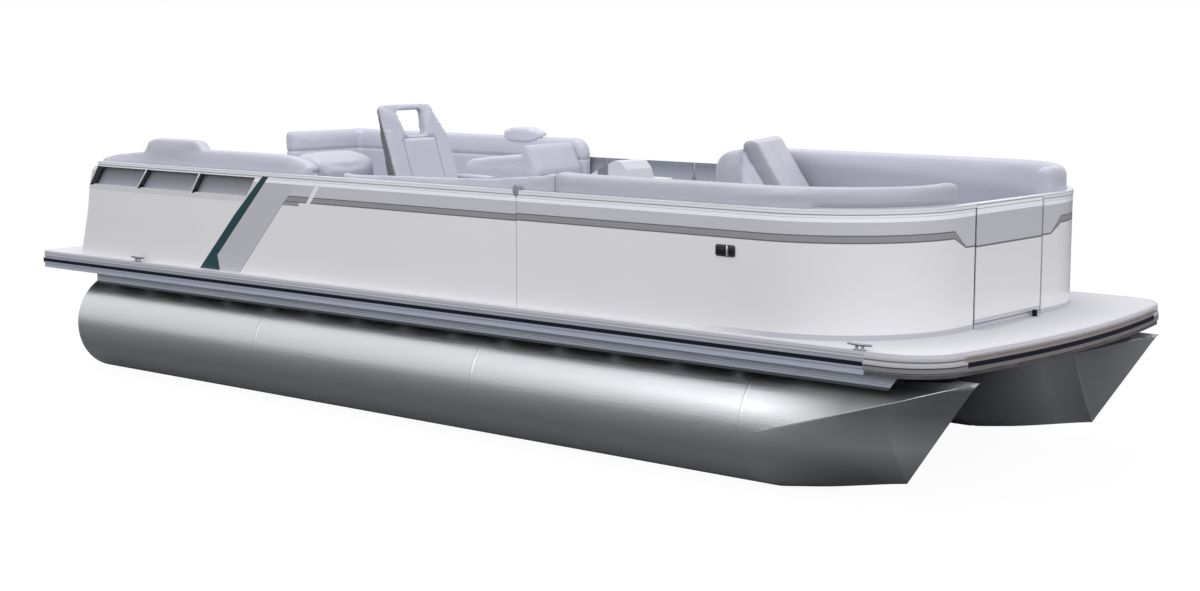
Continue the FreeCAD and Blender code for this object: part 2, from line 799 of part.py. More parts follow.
def gate(name, rect, low, high, axis, gate_leaf, post_leaf):
    """A gate and its post hinges: pins and end knuckles stay, the middle knuckles turn."""
    x, y = axis
    gap = S.knuckle_gap
    half = S.knuckle_h / 2
    fixed = []
    moving = [block(name + "_board", (rect[0], rect[1], low), (rect[2], rect[3], high))]
    bores = []
    for number, share in enumerate(KNUCKLE_FEET):
        foot = low + (high - low) * share
        tag = "%s_%d" % (name, number)
        for end, level in (("low", foot - half - gap), ("top", foot + S.knuckle_h + gap)):
            fixed.append(cylinder("%s_%s" % (tag, end), x, y, level, S.knuckle_rad, half))
            fixed.append(block("%s_%s_leaf" % (tag, end), (post_leaf[0], post_leaf[1], level),
                               (post_leaf[2], post_leaf[3], level + half)))
        fixed.append(cylinder(tag + "_pin", x, y, foot - gap - 1, S.pin_rad,
                              S.knuckle_h + 2 * gap + 2))
        moving.append(cylinder(tag + "_mid", x, y, foot, S.knuckle_rad, S.knuckle_h))
        moving.append(block(tag + "_mid_leaf", (gate_leaf[0], gate_leaf[1], foot),
                            (gate_leaf[2], gate_leaf[3], foot + S.knuckle_h)))
        bores.append(cylinder(tag + "_bore", x, y, foot - 1, S.pin_rad + S.pin_run,
                              S.knuckle_h + 2))
    solid = fuse(name + "_solid", moving)
    node(cut(name, solid, group(name + "_bores", bores)))
    node(fuse(name + "_hinges", fixed))


gg = S.gate_gap
lf = S.leaf_t
low = up(S.gate_lift)
high = up(S.fence_h + S.top_h)
ph = S.post_half
hx = bow_in - S.pin_off
gate("bow_gate", (bow_in, -(ph - gg), bow_out, ph - gg), low, high, (hx, ph - gg / 2),
     (hx, ph - gg - lf, bow_in + 1, ph - gg), (hx, ph, bow_in, ph + lf))
ga = station(S.port_gate_aft)
gf = station(S.port_gate_fore)
hy = inner - S.pin_off
gate("port_gate", (ga + gg, inner, gf - gg, outer), low, high, (gf - gg / 2, hy),
     (gf - gg - lf, hy, gf - gg, inner + 1), (gf, hy, gf + lf, inner))
sh = S.stern_half
hx = stern_in + S.pin_off
gate("stern_gate", (stern_x, -(sh - gg), stern_in, sh - gg), low, up(S.stern_fence_h),
     (hx, -(sh - gg / 2)), (stern_in - 1, -(sh - gg), hx, -(sh - gg) + lf),
     (stern_in, -sh - lf, hx, -sh))

# ---------------------------------------------------------------- seating

base_top = up(S.base_h)
pad_top = up(S.base_h + S.pad_t)
back_in = inner - S.back_t
soft = S.soft_rad


def hollow(name, outer_loop, inner_loop):
    """Seat base: open bin with a floor."""
    body = prism(name, "XY", [outer_loop], up(0), base_top)
    pocket(body, "XY", [inner_loop], up(S.base_t), base_top + 1)
    return node(body)


def corner_loop(aft, out, end, sign):
    """Plan area that fills a bow corner; out is the offset in from the fence's outer face."""
    y0 = S.fence_y - out
    x0 = bow_out - out
    turn_x = bow_out - S.fence_rad
    turn_y = S.fence_y - S.fence_rad
    return [
        (station(aft), sign * y0),
        (turn_x, sign * y0, S.fence_rad - out, -sign),
        (x0, sign * turn_y),
        (x0, sign * end),
        (station(aft), sign * end),
    ]


aisle = inner - S.bow_seat_w
wall = S.base_t
for side, sign, aft in (("starboard", -1, S.star_bow_aft), ("port", 1, S.port_bow_aft)):
    hollow(side + "_bow_base", corner_loop(aft, S.fence_t, aisle, sign),
           corner_loop(aft + wall, S.fence_t + wall, aisle + wall, sign))

gap = S.move_gap
arc_end = S.fence_y - S.fence_rad
seat_out = S.fence_t + S.back_t + gap


def top_round(body, level, radius=soft):
    fillet(body, radius, lambda middle, way, z=level.value: middle.z > z - 1)
    return node(body)


for name, aft, top, end, sign in (
        # node, aft end, top, inboard end at the bow, side
        ("starboard_bow_back", from_bow(S.bolster_back), S.star_back_top,
         arc_end - S.back_end_star, -1),
        ("port_bow_back", S.port_bow_aft, S.port_back_top, arc_end - S.back_end_port, 1)):
    top_round(prism(name, "XY", [band(aft, S.fence_t, S.fence_t + S.back_t, end, sign)],
                    base_top, up(top)), up(top))

rest_front = S.star_bow_aft + S.rest_t
top_round(prism("starboard_bow_seat", "XY", [corner_loop(rest_front + gap, seat_out, aisle, -1)],
                base_top, pad_top), pad_top)
rest_high = up(S.base_h + S.rest_h)
rest = prism("starboard_bow_rest", "XZ", [[
    (station(S.star_bow_aft), base_top), (station(rest_front), base_top),
    (station(rest_front), pad_top), (station(S.star_bow_aft + S.rest_t * 0.7), rest_high),
    (station(S.star_bow_aft), rest_high)]], -(back_in - gap), -aisle)
fillet(rest, soft, lambda middle, way: middle.z > rest_high.value - 1 and abs(way.y) < 0.1)
node(rest)

lid_aft = station(from_bow(S.port_lid_back))
corner_aft = S.fence_bow - S.fence_rad - S.corner_lead
lid_fore = station(corner_aft) - gap
top_round(block("port_bow_seat", (lid_aft, aisle, base_top), (lid_fore, back_in - gap, pad_top)),
          pad_top)
top_round(prism("port_bow_corner_seat", "XY", [corner_loop(corner_aft, seat_out, aisle, 1)],
                base_top, pad_top), pad_top)

# The chaise back is angled in plan; its profiles run from the foot of its front face.
CHAISE_TURN = 20
SLAB = (
    # forward of the front foot, above the seat base
    (-140, 0), (0, 0), (0, 125), (-232, 500), (-250, 532), (-280, 547), (-322, 545), (-345, 505),
    (-140, 190),
)
SHELL = (
    (-515, 0), (-141, 0), (-141, 190), (-346, 505), (-352, 478), (-380, 478), (-450, 462),
    (-498, 425), (-515, 370),
)


def chaise_part(name, profile, round_rad, test):
    body = prism(name, "XZ", [[(size(a), size(b)) for a, b in profile]], 0, S.chaise_wide)
    fillet(body, round_rad, test)
    place(body, station(from_bow(S.chaise_back)), aisle, base_top,
          turn=(FreeCAD.Vector(0, 0, 1), CHAISE_TURN))
    return node(body)


chaise_part("chaise_back", SLAB, 18, lambda middle, way: middle.z > 130 and abs(way.y) < 0.1
            and middle.x > -240)
chaise_part("chaise_shell", SHELL, 45, lambda middle, way: middle.x < -500 and abs(way.z) > 0.9)

# aft seating
aft_x = stern_in
star_in = inner - S.aft_seat_w
port_in = star_in
fore_s = station(S.star_aft_fore)
fore_p = station(S.port_aft_fore)
hollow("starboard_aft_base", rectangle(aft_x, -inner, fore_s, -star_in),
       rectangle(aft_x + wall, -inner + wall, fore_s - wall, -star_in - wall))
turn_x = station(S.return_fore)
turn_y = S.return_in
hollow("port_aft_base",
       [(aft_x, turn_y), (turn_x, turn_y), (turn_x, port_in), (fore_p, port_in),
        (fore_p, inner), (aft_x, inner)],
       [(aft_x + wall, turn_y + wall), (turn_x - wall, turn_y + wall),
        (turn_x - wall, port_in + wall), (fore_p - wall, port_in + wall),
        (fore_p - wall, inner - wall), (aft_x + wall, inner - wall)])
end_x = fore_s - S.arm_len
top_round(block("starboard_aft_seat", (aft_x + S.back_t + gap, -(back_in - gap), base_top),
                (end_x - gap, -star_in, pad_top)), pad_top)


def along(aft, length, share, level):
    """Point of an arm's side profile: share of its length, height above the deck."""
    return aft + length * share, up(level)


arm = prism("starboard_aft_arm", "XZ", [[
    along(end_x, S.arm_len, share, level) for share, level in (
        (0, S.base_h), (1, S.base_h), (1, 655), (0.97, 700), (0.86, 725), (0.54, 752),
        (0.35, 715), (0.1, 640), (0, 590))]], -back_in, -star_in)
fillet(arm, 25, lambda middle, way: abs(way.y) < 0.1 and middle.z > up(600).value)
node(arm)
back_z = up(S.aft_back_top)
back = prism("starboard_aft_back", "XY", [[
    (aft_x, -inner), (fore_s, -inner), (fore_s, -back_in), (aft_x + S.back_t, -back_in),
    (aft_x + S.back_t, -star_in), (aft_x, -star_in)]], base_top, back_z - S.headrest_lap)
pad(back, "XZ", [[
    along(aft_x, fore_s - aft_x, share, level) for share, level in (
        (0, 600), (1, 600), (1, 665), (0.97, 705), (0.93, 728), (0.86, S.aft_back_top),
        (0.51, S.aft_back_top), (0.495, 785), (0.475, S.head_top), (0.29, S.head_top),
        (0.25, 785), (0.226, 712), (0.07, 678), (0.02, 655), (0, 630))]], -inner, -back_in)
node(back)
arm_x = fore_p - S.port_arm_len
top_round(block("port_aft_seat", (turn_x + gap, port_in, base_top),
                (arm_x - gap, back_in - gap, pad_top)), pad_top)
top_round(prism("port_aft_corner_seat", "XY", [rectangle(
    aft_x + S.back_t + gap, turn_y, turn_x, back_in - gap)], base_top, pad_top), pad_top)
arm = prism("port_aft_arm", "XZ", [[
    along(arm_x, S.port_arm_len, share, level) for share, level in (
        (0, S.base_h), (1, S.base_h), (1, 560), (0.88, 726), (0.85, 738), (0.81, 734),
        (0.8, 664), (0.46, 644), (0.07, 613), (0, 585))]], port_in, back_in)
fillet(arm, 15, lambda middle, way: abs(way.y) < 0.1 and middle.z > up(600).value)
node(arm)
port_back_z = up(S.port_back_top)
back = prism("port_aft_back", "XZ", [[
    (fore_p, base_top), (fore_p, port_back_z - S.back_end_rad, S.back_end_rad, 1),
    (fore_p - S.back_end_rad, port_back_z), (aft_x, port_back_z), (aft_x, base_top)]],
    back_in, inner)
pad(back, "XY", [rectangle(aft_x, turn_y, aft_x + S.back_t, back_in)], base_top, port_back_z)
fillet(back, soft, lambda middle, way: middle.z > port_back_z.value - 1
       and (abs(way.x) > 0.9 or middle.x < (aft_x + S.back_t).value + 1))
node(back)
pillow_x = arm_x - S.pillow_back
pillow_z = port_back_z + S.pillow_h
pillow = block("port_headrest", (pillow_x, back_in - S.pillow_lap, port_back_z),
               (pillow_x + S.pillow_len, inner - 10, pillow_z))
pad(pillow, "XZ", [rectangle(pillow_x, port_back_z - S.pillow_drop, pillow_x + S.pillow_len,
                             port_back_z)], back_in - S.pillow_lap, back_in)
fillet(pillow, 20, lambda middle, way: middle.z > pillow_z.value - 1)
node(pillow)
pad_x = station(from_bow(S.pad_back)) - S.side_pad_len
side_pad = prism("starboard_side_pad", "XZ", [[
    along(pad_x, S.side_pad_len, share, level) for share, level in (
        (0, S.side_pad_low), (1, S.side_pad_low), (1, S.side_pad_top), (0.8, 702), (0.7, 686),
        (0, 658))]], -inner, -(inner - S.side_pad_t))
fillet(side_pad, 20, lambda middle, way: middle.y > -(inner - S.side_pad_t).value - 1
       and abs(way.x) > 0.9)
node(side_pad)

# ---------------------------------------------------------------- helm

helm_fore = station(from_bow(S.helm_back))
helm_aft = helm_fore - S.helm_len
helm_out = -(S.fence_y - S.helm_in)
helm_port = helm_out + S.helm_w
console = prism("helm_console", "XZ", [[
    along(helm_aft, S.helm_len, share, level) for share, level in (
        (0, 0), (1, 0), (1, 600), (0.93, S.helm_top), (0.12, S.helm_top), (0, 440))]],
    helm_out, helm_port)
pad(console, "XZ", [[
    along(helm_aft, S.helm_len, share, level) for share, level in (
        (0.4, S.helm_top - 1), (0.92, S.helm_top - 1), (0.89, 728), (0.83, 768),
        (0.76, S.cowl_top), (0.59, 722))]],
    helm_out + S.helm_w * 0.5, helm_port - S.helm_w * 0.2)
pocket(console, "YZ", [rectangle(helm_out + 105, up(60), helm_port - 130, up(S.well_top))],
       helm_aft - 1, helm_aft + S.well_reach)
fillet(console, 25, lambda middle, way: abs(way.z) > 0.9 and middle.x > helm_fore.value - 1)
node(console)
lean_rad = math.radians(S.wheel_lean.value)
lean_sin = Size(math.sin(lean_rad), "sin(P.wheel_lean * 1 deg)")
lean_cos = Size(math.cos(lean_rad), "cos(P.wheel_lean * 1 deg)")
wheel_x, wheel_y, wheel_z = station(from_bow(S.wheel_back)), helm_port - S.wheel_in, up(S.wheel_h)
lean = (FreeCAD.Vector(0, 1, 0), -S.wheel_lean.value)


def leaning(name, distance, radius, height):
    """Cylinder on the tilted steering axis, from a distance along it."""
    return cylinder(name, wheel_x - distance * lean_sin, wheel_y,
                    wheel_z + distance * lean_cos, radius, height, turn=lean)


column = fuse("column_solid", [leaning("column_tube", -260, 30, 235),
                               leaning("column_spindle", -40, S.spindle_rad, 35)])
node(cut("steering_column", column, console))
rim_ring = doc.addObject("Part::Torus", "wheel_rim")
bind(rim_ring, "Radius1", S.wheel_rad)
bind(rim_ring, "Radius2", S.wheel_tube)
place(rim_ring, wheel_x - lean_sin * 20, wheel_y, wheel_z + lean_cos * 20, turn=lean)
hub = leaning("wheel_hub", -20, S.hub_rad, 45)
spokes = []
for number in range(3):
    spoke = doc.addObject("Part::Box", "spoke%d" % number)
    bind(spoke, "Length", S.wheel_rad - 30)
    bind(spoke, "Width", 26)
    bind(spoke, "Height", 8)
    turn = FreeCAD.Rotation(*lean).multiply(
        FreeCAD.Rotation(FreeCAD.Vector(0, 0, 1), 90 + number * 120))
    shift = turn.multVec(FreeCAD.Vector(30, -13, 12))
    spoke.Placement = FreeCAD.Placement(shift, turn)
    bind(spoke, "Placement.Base.x", wheel_x + shift.x)
    bind(spoke, "Placement.Base.y", wheel_y + shift.y)
    bind(spoke, "Placement.Base.z", wheel_z + shift.z)
    spokes.append(spoke)
node(cut("steering_wheel", fuse("wheel_solid", [rim_ring, hub] + spokes),
         leaning("wheel_bore", -25, S.spindle_rad + S.turn_run, 20)))
lever_y = helm_out + 15
node(fuse("throttle", [
    block("throttle_box", (helm_aft - 80, lever_y, up(330)), (helm_aft, lever_y + 70, up(430))),
    cylinder("throttle_arm", helm_aft - 40, lever_y + 35, up(400), 9, 190, turn=(
        FreeCAD.Vector(0, 1, 0), -20))]))

# ---------------------------------------------------------------- captain's chair

chair_x, chair_y = station(from_bow(S.chair_back)), -S.chair_out
post = S.spindle_post
node(fuse("chair_pedestal", [
    cylinder("pedestal_plate", chair_x, chair_y, up(0), 160, 12),
    cylinder("pedestal_column", chair_x, chair_y, up(10), 38, S.chair_h - 72),
    cylinder("pedestal_spindle", chair_x, chair_y, up(S.chair_h - 72), post, 60)]))
plate_z = up(S.chair_h - 12)
swivel = fuse("swivel_solid", [
    cylinder("swivel_hub", chair_x, chair_y, plate_z - 44, 46, 54),
    block("swivel_plate", (chair_x - 240, chair_y - 130, plate_z),
          (chair_x + 130, chair_y + 130, up(S.chair_h)))])
node(cut("chair_swivel", swivel, cylinder("swivel_bore", chair_x, chair_y, plate_z - 50,
                                          post + S.turn_run, 50)))
seat_z = up(S.chair_h)
CHAIR_BACK = (
    # forward of the post, above the seat plate
    (-165, 0), (-100, 0), (-100, 118), (-243, 500), (-292, 640), (-306, 668), (-326, 678),
    (-348, 662), (-350, 630), (-312, 480), (-185, 118),
)
top_round(block("chair_seat", (chair_x - 99, chair_y - S.chair_half + 15, seat_z),
                (chair_x + 290, chair_y + S.chair_half - 15, seat_z + 118)),
          seat_z + 118, 35)
back = prism("chair_back_full", "XZ", [[
    (chair_x + a, seat_z + b) for a, b in CHAIR_BACK]],
    chair_y - S.chair_half, chair_y + S.chair_half)
for sign in (-1, 1):
    pocket(back, "YZ", [[
        (chair_y + sign * S.chair_half * 1.1, seat_z + 500),
        (chair_y + sign * S.chair_half, seat_z + 500),
        (chair_y + sign * S.chair_half * 0.68, seat_z + 645),
        (chair_y + sign * S.chair_half * 0.6, seat_z + 700),
        (chair_y + sign * S.chair_half * 1.1, seat_z + 700)]], chair_x - 450, chair_x)
pocket(back, "YZ", [[
    (chair_y - 82, seat_z + 510), (chair_y + 82, seat_z + 510),
    (chair_y + 105, seat_z + 628), (chair_y - 105, seat_z + 628)]], chair_x - 450, chair_x)
back.Label = "chair_back"
node(back)
node(group("chair_arms", [
    block("chair_arm%d" % number, (chair_x - 230, chair_y + low_y, seat_z + 190),
          (chair_x + 110, chair_y + high_y, seat_z + 235), 18,
          lambda middle, way: abs(way.x) > 0.9)
    for number, (low_y, high_y) in enumerate((
        (-S.chair_half - S.arm_w, -S.chair_half), (S.chair_half, S.chair_half + S.arm_w)))]))

# ---------------------------------------------------------------- ladder and fittings

ladder_x, ladder_z = station(15), up(70)
y1 = HALF - 335
y0 = y1 - 340
rail_len = 400
rails_y = (y0, y1)
parts = [cylinder("ladder_rail%d" % i, ladder_x, y, ladder_z, 12.7, rail_len, axis="x")
         for i, y in enumerate(rails_y)]
parts += [cylinder("ladder_rung%d" % i, ladder_x + along, y0, ladder_z, 11, y1 - y0, axis="y")
          for i, along in enumerate((150, 270, 388))]
parts += [block("ladder_knuckle%d" % i, (ladder_x - 16, y - 14, ladder_z - 16),
                (ladder_x + 16, y + 14, ladder_z + 16)) for i, y in enumerate(rails_y)]
pin_hole = cylinder("ladder_bore", ladder_x, y0 - 100, ladder_z, 6.05, y1 - y0 + 200, axis="y")
node(cut("boarding_ladder", fuse("ladder_solid", parts), pin_hole))
mounts = []
for i, y in enumerate(rails_y):
    for j, side in enumerate((-1, 1)):
        mounts.append(block("ladder_ear%d%d" % (i, j), (ladder_x - 10, y + side * 23 - 4, up(0)),
                            (ladder_x + 30, y + side * 23 + 4, ladder_z + 14)))
    mounts.append(cylinder("ladder_pin%d" % i, ladder_x, y - 30, ladder_z, 6, 60, axis="y"))
mounts.append(block("ladder_rest", (ladder_x + 376, y0 + 60, up(0)),
                    (ladder_x + 400, y1 - 60, ladder_z - 12.7)))
node(fuse("ladder_brackets", mounts))
cleats = []
for i, (star_s, port_s) in enumerate(((1060, 1060), (from_bow(505), from_bow(880)))):
    for j, side in enumerate((-1, 1)):
        x = station(port_s if j else star_s)
        y = HALF - S.cleat_in
        foot = block("cleat_foot%d%d" % (i, j), (x - 25, side * y - 12, up(0)),
                     (x + 25, side * y + 12, up(22)))
        horn = cylinder("cleat_horn%d%d" % (i, j), x - 70, side * y, up(27), 8, 140, axis="x")
        cleats.append(fuse("cleat%d%d" % (i, j), [foot, horn]))
node(group("cleats", cleats))
light_x = station(from_bow(S.light_back))
node(group("panel_lights", [
    block("panel_light%d" % j, (light_x, edge, up(S.light_low)),
          (light_x + S.light_len, edge + 12, up(S.light_low + S.light_h)))
    for j, edge in enumerate((-outer - 12, outer))]))
node(cylinder("gate_bumper", bow_out + 24, ph - 105, up(0), 15, 38))

# ---------------------------------------------------------------- write

doc.recompute()
os.makedirs("parts", exist_ok=True)
for obj in doc.Objects:
    if "Invalid" in obj.State or "Error" in obj.State:
        raise RuntimeError("%s: %s %s" % (obj.Name, obj.State, obj.getStatusString()))
for obj in NODES:
    shape = obj.Shape
    if shape.isNull() or not shape.isValid() or not shape.Solids:
        raise RuntimeError("bad shape " + obj.Label)
    shape.exportStep("parts/%s.step" % obj.Label)
print(len(NODES), "nodes")
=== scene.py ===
import math

import bmesh
import bpy
import numpy as np
from mathutils import Euler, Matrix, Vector


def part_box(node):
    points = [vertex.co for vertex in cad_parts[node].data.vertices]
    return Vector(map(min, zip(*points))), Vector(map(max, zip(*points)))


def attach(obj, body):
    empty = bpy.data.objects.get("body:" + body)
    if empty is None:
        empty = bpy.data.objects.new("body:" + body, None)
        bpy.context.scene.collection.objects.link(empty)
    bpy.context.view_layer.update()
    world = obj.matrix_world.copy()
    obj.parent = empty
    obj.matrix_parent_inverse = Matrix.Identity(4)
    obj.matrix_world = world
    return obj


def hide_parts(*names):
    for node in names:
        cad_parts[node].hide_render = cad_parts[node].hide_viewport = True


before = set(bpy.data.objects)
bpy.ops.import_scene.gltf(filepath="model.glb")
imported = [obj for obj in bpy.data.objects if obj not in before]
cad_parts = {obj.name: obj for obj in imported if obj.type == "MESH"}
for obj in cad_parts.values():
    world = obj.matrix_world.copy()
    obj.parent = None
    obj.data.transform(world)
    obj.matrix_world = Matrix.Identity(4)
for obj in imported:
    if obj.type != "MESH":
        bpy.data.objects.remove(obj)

bl_info = {
    "name": "Pontoon Boat Dressing",
    "version": (1, 0, 0),
    "blender": (4, 5, 0),
    "location": "3D View > Sidebar > Pontoon Boat",
    "description": "Adds the finishes, upholstery and fittings "
                   "of a pontoon boat to its fixed frame",
    "category": "Object",
}

DECK_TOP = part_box("deck")[1].z
STERN = -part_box("rub_insert")[0].x
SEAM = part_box("starboard_bow_panel")[0].x + STERN
NOSE_LENGTH = 1.046
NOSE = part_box("starboard_pontoon")[1].x - NOSE_LENGTH
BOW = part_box("rub_insert")[1].x
FENCE = -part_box("starboard_side_panel")[0].y
LINER = -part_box("starboard_side_panel")[1].y
BOW_TURN = 5.94
LOUNGE_TURN = math.radians(20)
TURN_SIN = math.sin(LOUNGE_TURN)
TURN_COS = math.cos(LOUNGE_TURN)
SHADE_FALL = 0.064  # fall of the port bow back's shade line for each metre toward the bow
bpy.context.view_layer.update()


# ------------------------------------------------------------------ shader maths

class Field:
    """One value over a surface. Arithmetic on it adds Math nodes to its finish."""

    def __init__(self, finish, socket):
        self.finish = finish
        self.socket = socket

    def maths(self, operation, *others, clamp=False):
        inputs = {0: self}
        inputs.update({i + 1: other for i, other in enumerate(others)})
        return self.finish.node("ShaderNodeMath", {"operation": operation, "use_clamp": clamp},
                                inputs)

    def __add__(self, other):
        return self.maths("ADD", other)

    def __sub__(self, other):
        return self.maths("SUBTRACT", other)

    def __mul__(self, other):
        return self.maths("MULTIPLY", other)

    def __truediv__(self, other):
        return self.maths("DIVIDE", other)

    def __neg__(self):
        return self * -1.0

    def __rsub__(self, other):
        return (self * -1.0) + other

    __radd__ = __add__
    __rmul__ = __mul__

    def above(self, edge, soft=0.0006):
        """0 below the edge and 1 above it, over a short ramp."""
        return ((self - edge) / soft + 0.5).clamp()

    def below(self, edge, soft=0.0006):
        return 1.0 - self.above(edge, soft)

    def between(self, low, high, soft=0.0006):
        return self.above(low, soft) * self.below(high, soft)

    def clamp(self):
        return self.maths("ADD", 0.0, clamp=True)

    def size(self):
        return self.maths("ABSOLUTE")

    def most(self, other):
        return self.maths("MAXIMUM", other)

    def wrap(self, step):
        """Distance from the nearest multiple of step."""
        return self.maths("PINGPONG", step / 2.0)

    def wave(self, pitch):
        """0..1 ripple with that pitch."""
        return (self * (2 * math.pi / pitch)).maths("SINE") * 0.5 + 0.5


class Finish:
    """A node material named for one finish of the boat."""

    def __init__(self, name, roughness, metallic=0.0, **fixed):
        self.material = bpy.data.materials.new(name)
        self.material.use_nodes = True
        self.tree = self.material.node_tree
        self.shader = self.tree.nodes["Principled BSDF"]
        self.set_input("Roughness", roughness)
        self.set_input("Metallic", metallic)
        for key, value in fixed.items():
            self.set_input(key.replace("_", " ").title(), value)
        where = self.tree.nodes.new("ShaderNodeTexCoord")
        self.at = where.outputs["Object"]
        split = self.tree.nodes.new("ShaderNodeSeparateXYZ")
        self.tree.links.new(split.inputs[0], self.at)
        self.x = Field(self, split.outputs[0])
        self.y = Field(self, split.outputs[1])
        self.z = Field(self, split.outputs[2])

    def set_input(self, name, value):
        socket = self.shader.inputs[name]
        if isinstance(value, Field):
            self.tree.links.new(socket, value.socket)
        else:
            socket.default_value = value

    def node(self, kind, settings=None, inputs=None, output=0):
        made = self.tree.nodes.new(kind)
        for key, value in (settings or {}).items():
            if key == "stops":
                ramp = made.color_ramp
                for i, (place, colour) in enumerate(value):
                    stop = ramp.elements[i] if i < 2 else ramp.elements.new(place)
                    stop.position = place
                    stop.color = colour
            else:
                setattr(made, key, value)
        for key, value in (inputs or {}).items():
            if isinstance(value, Field):
                self.tree.links.new(made.inputs[key], value.socket)
            elif isinstance(value, bpy.types.NodeSocket):
                self.tree.links.new(made.inputs[key], value)
            else:
                made.inputs[key].default_value = value
        return Field(self, made.outputs[output])

    def noise(self, scale, detail=2.0, stretch=None, rough=0.5):
        """Cloudy variation, 0..1, at so many patches per metre."""
        where = self.at
        if stretch:
            where = self.node("ShaderNodeVectorMath", {"operation": "MULTIPLY"},
                              {0: self.at, 1: stretch})
        return self.node("ShaderNodeTexNoise", {}, {
            "Vector": where, "Scale": scale, "Detail": detail, "Roughness": rough})

    def cells(self, scale, feature="F1"):
        return self.node("ShaderNodeTexVoronoi", {"feature": feature}, {
            "Vector": self.at, "Scale": scale})

    def mix(self, share, first, second):
        """Colour between two colours."""
        def full(colour):
            if isinstance(colour, Field):
                return colour
            return tuple(colour)[:3] + (1.0,)
        return self.node("ShaderNodeMix", {"data_type": "RGBA"}, {
            0: share, 6: full(first), 7: full(second)}, output=2)

    def colour(self, value):
        self.set_input("Base Color", value if isinstance(value, Field) else tuple(value) + (1.0,))

    def bump(self, height, depth, before=None):
        """Raises the surface by height (0..1) times depth in metres."""
        inputs = {"Height": height, "Distance": depth, "Strength": 1.0}
        if before is not None:
            inputs["Normal"] = before
        made = self.node("ShaderNodeBump", {}, inputs)
        self.tree.links.new(self.shader.inputs["Normal"], made.socket)
        return made


def tint(colour, factor):
    return tuple(min(1.0, c * factor) for c in colour[:3])


# ------------------------------------------------------------------ sizes and colours


class StageSizes(bpy.types.PropertyGroup):
    floor: bpy.props.FloatProperty(
        name="Floor", description="Half width of the pale floor", default=60.0, unit="LENGTH")
    lens: bpy.props.FloatProperty(
        name="Lens", description="Focal length of the camera in millimetres", default=58.25)
    eye: bpy.props.FloatVectorProperty(
        name="Eye", description="Where the camera stands", size=3,
        default=(7.868, -8.879, 2.254), subtype="TRANSLATION")
    heading: bpy.props.FloatProperty(
        name="Heading", description="Turn of the camera from the port beam towards the stern",
        default=math.radians(40.18), subtype="ANGLE")
    dip: bpy.props.FloatProperty(
        name="Dip", description="Tilt of the camera below the horizon",
        default=math.radians(7.689), subtype="ANGLE")


class Colours(bpy.types.PropertyGroup):
    panel: bpy.props.FloatVectorProperty(
        name="Panel", description="Fence panels", size=3, default=(0.725, 0.72, 0.74),
        subtype="COLOR")
    strip: bpy.props.FloatVectorProperty(
        name="Strip", description="Pale strip under the rail", size=3,
        default=(0.86, 0.86, 0.93), subtype="COLOR")
    band: bpy.props.FloatVectorProperty(
        name="Band", description="Medium grey band under the rail", size=3,
        default=(0.52, 0.515, 0.57), subtype="COLOR")
    stripe: bpy.props.FloatVectorProperty(
        name="Stripe", description="Dark stripe below the band", size=3,
        default=(0.275, 0.27, 0.30), subtype="COLOR")
    slash: bpy.props.FloatVectorProperty(
        name="Slash", description="Dark teal slash across the side", size=3,
        default=(0.004, 0.042, 0.050), subtype="COLOR")
    vinyl: bpy.props.FloatVectorProperty(
        name="Vinyl", description="Upholstery", size=3, default=(0.41, 0.41, 0.48),
        subtype="COLOR")
    # painted shade on the starboard side of the chair back
    vinyl_side_shade: bpy.props.FloatVectorProperty(
        name="Dark vinyl", description="Side strips of the upholstery", size=3,
        default=(0.10, 0.10, 0.115), subtype="COLOR")
    metal: bpy.props.FloatVectorProperty(
        name="Metal", description="Pontoon skin", size=3, default=(0.72, 0.735, 0.765),
        subtype="COLOR")
    deck: bpy.props.FloatVectorProperty(
        name="Deck", description="Deck covering", size=3, default=(0.82, 0.815, 0.87),
        subtype="COLOR")


def colours():
    return bpy.context.scene.boat_colours


# ------------------------------------------------------------------ finishes

FINISHES = {}


def finish(name):
    """The material of that name, made on first use."""
    if name not in FINISHES:
        FINISHES[name] = MAKERS[name](name)
    return FINISHES[name].material


def tube_skin(name):
    """Rolled aluminium sheet: lengthwise brushing, weld rings, faint water marks, and painted
    shade and reflections.
    """
    f = Finish(name, 0.3, 1.0)
    base = colours().metal
    brushed = f.noise(9, 3, stretch=(0.6, 14, 14))
    clouds = f.noise(1.6, 4)
    rings = (f.x + 3.136).wrap(1.83).below(0.006, 0.003)
    shade = f.mix(clouds, tint(base, 0.86), tint(base, 1.06))
    # painted shade: darker towards the bottom of the tube, standing in for the dark ground it
    # reflects
    painted_low_shade = ((0.52 - f.z) / 0.16 + clouds * 0.3 - 0.15).clamp()
    shade = f.mix(painted_low_shade, shade, tint(base, 0.70))
    # painted light: a little lighter again along the very bottom
    shade = f.mix(((0.20 - f.z) / 0.14).clamp(), shade, tint(base, 1.05))
    # painted reflections on the noses: a pale band about 0.30 m up with darker edges; the port
    # nose is lighter aft and darker near its tip
    nose = (f.x - NOSE).above(0.25, 0.5)
    low = tint(base, 0.36)
    sheen = f.mix(((f.z - 0.30).size() / 0.19).clamp(), tint(base, 0.74), low)
    after = tint(base, 1.15)
    sheen = f.mix(f.y.above(0.0), sheen, f.mix(f.x.above(NOSE + 0.62, 0.2), after,
                                               tint(base, 0.72)))
    shade = f.mix(nose * f.z.below(0.62, 0.02), shade, sheen)
    f.colour(f.mix(rings * 0.2, shade, tint(base, 0.7)))
    f.set_input("Roughness", brushed * 0.16 + clouds * 0.1 + nose * 0.25 + 0.2)
    fine = f.bump(brushed, 0.0006)
    f.bump(rings + f.noise(420, 1) * rings, 0.0006, fine)
    return f


def mill_metal(name):
    f = Finish(name, 0.42, 1.0)
    grain = f.noise(60, 3, stretch=(1, 0.1, 1))
    f.colour(f.mix(grain, (0.42, 0.43, 0.45), (0.58, 0.59, 0.61)))
    f.set_input("Roughness", grain * 0.2 + 0.32)
    f.bump(grain, 0.0004)
    return f


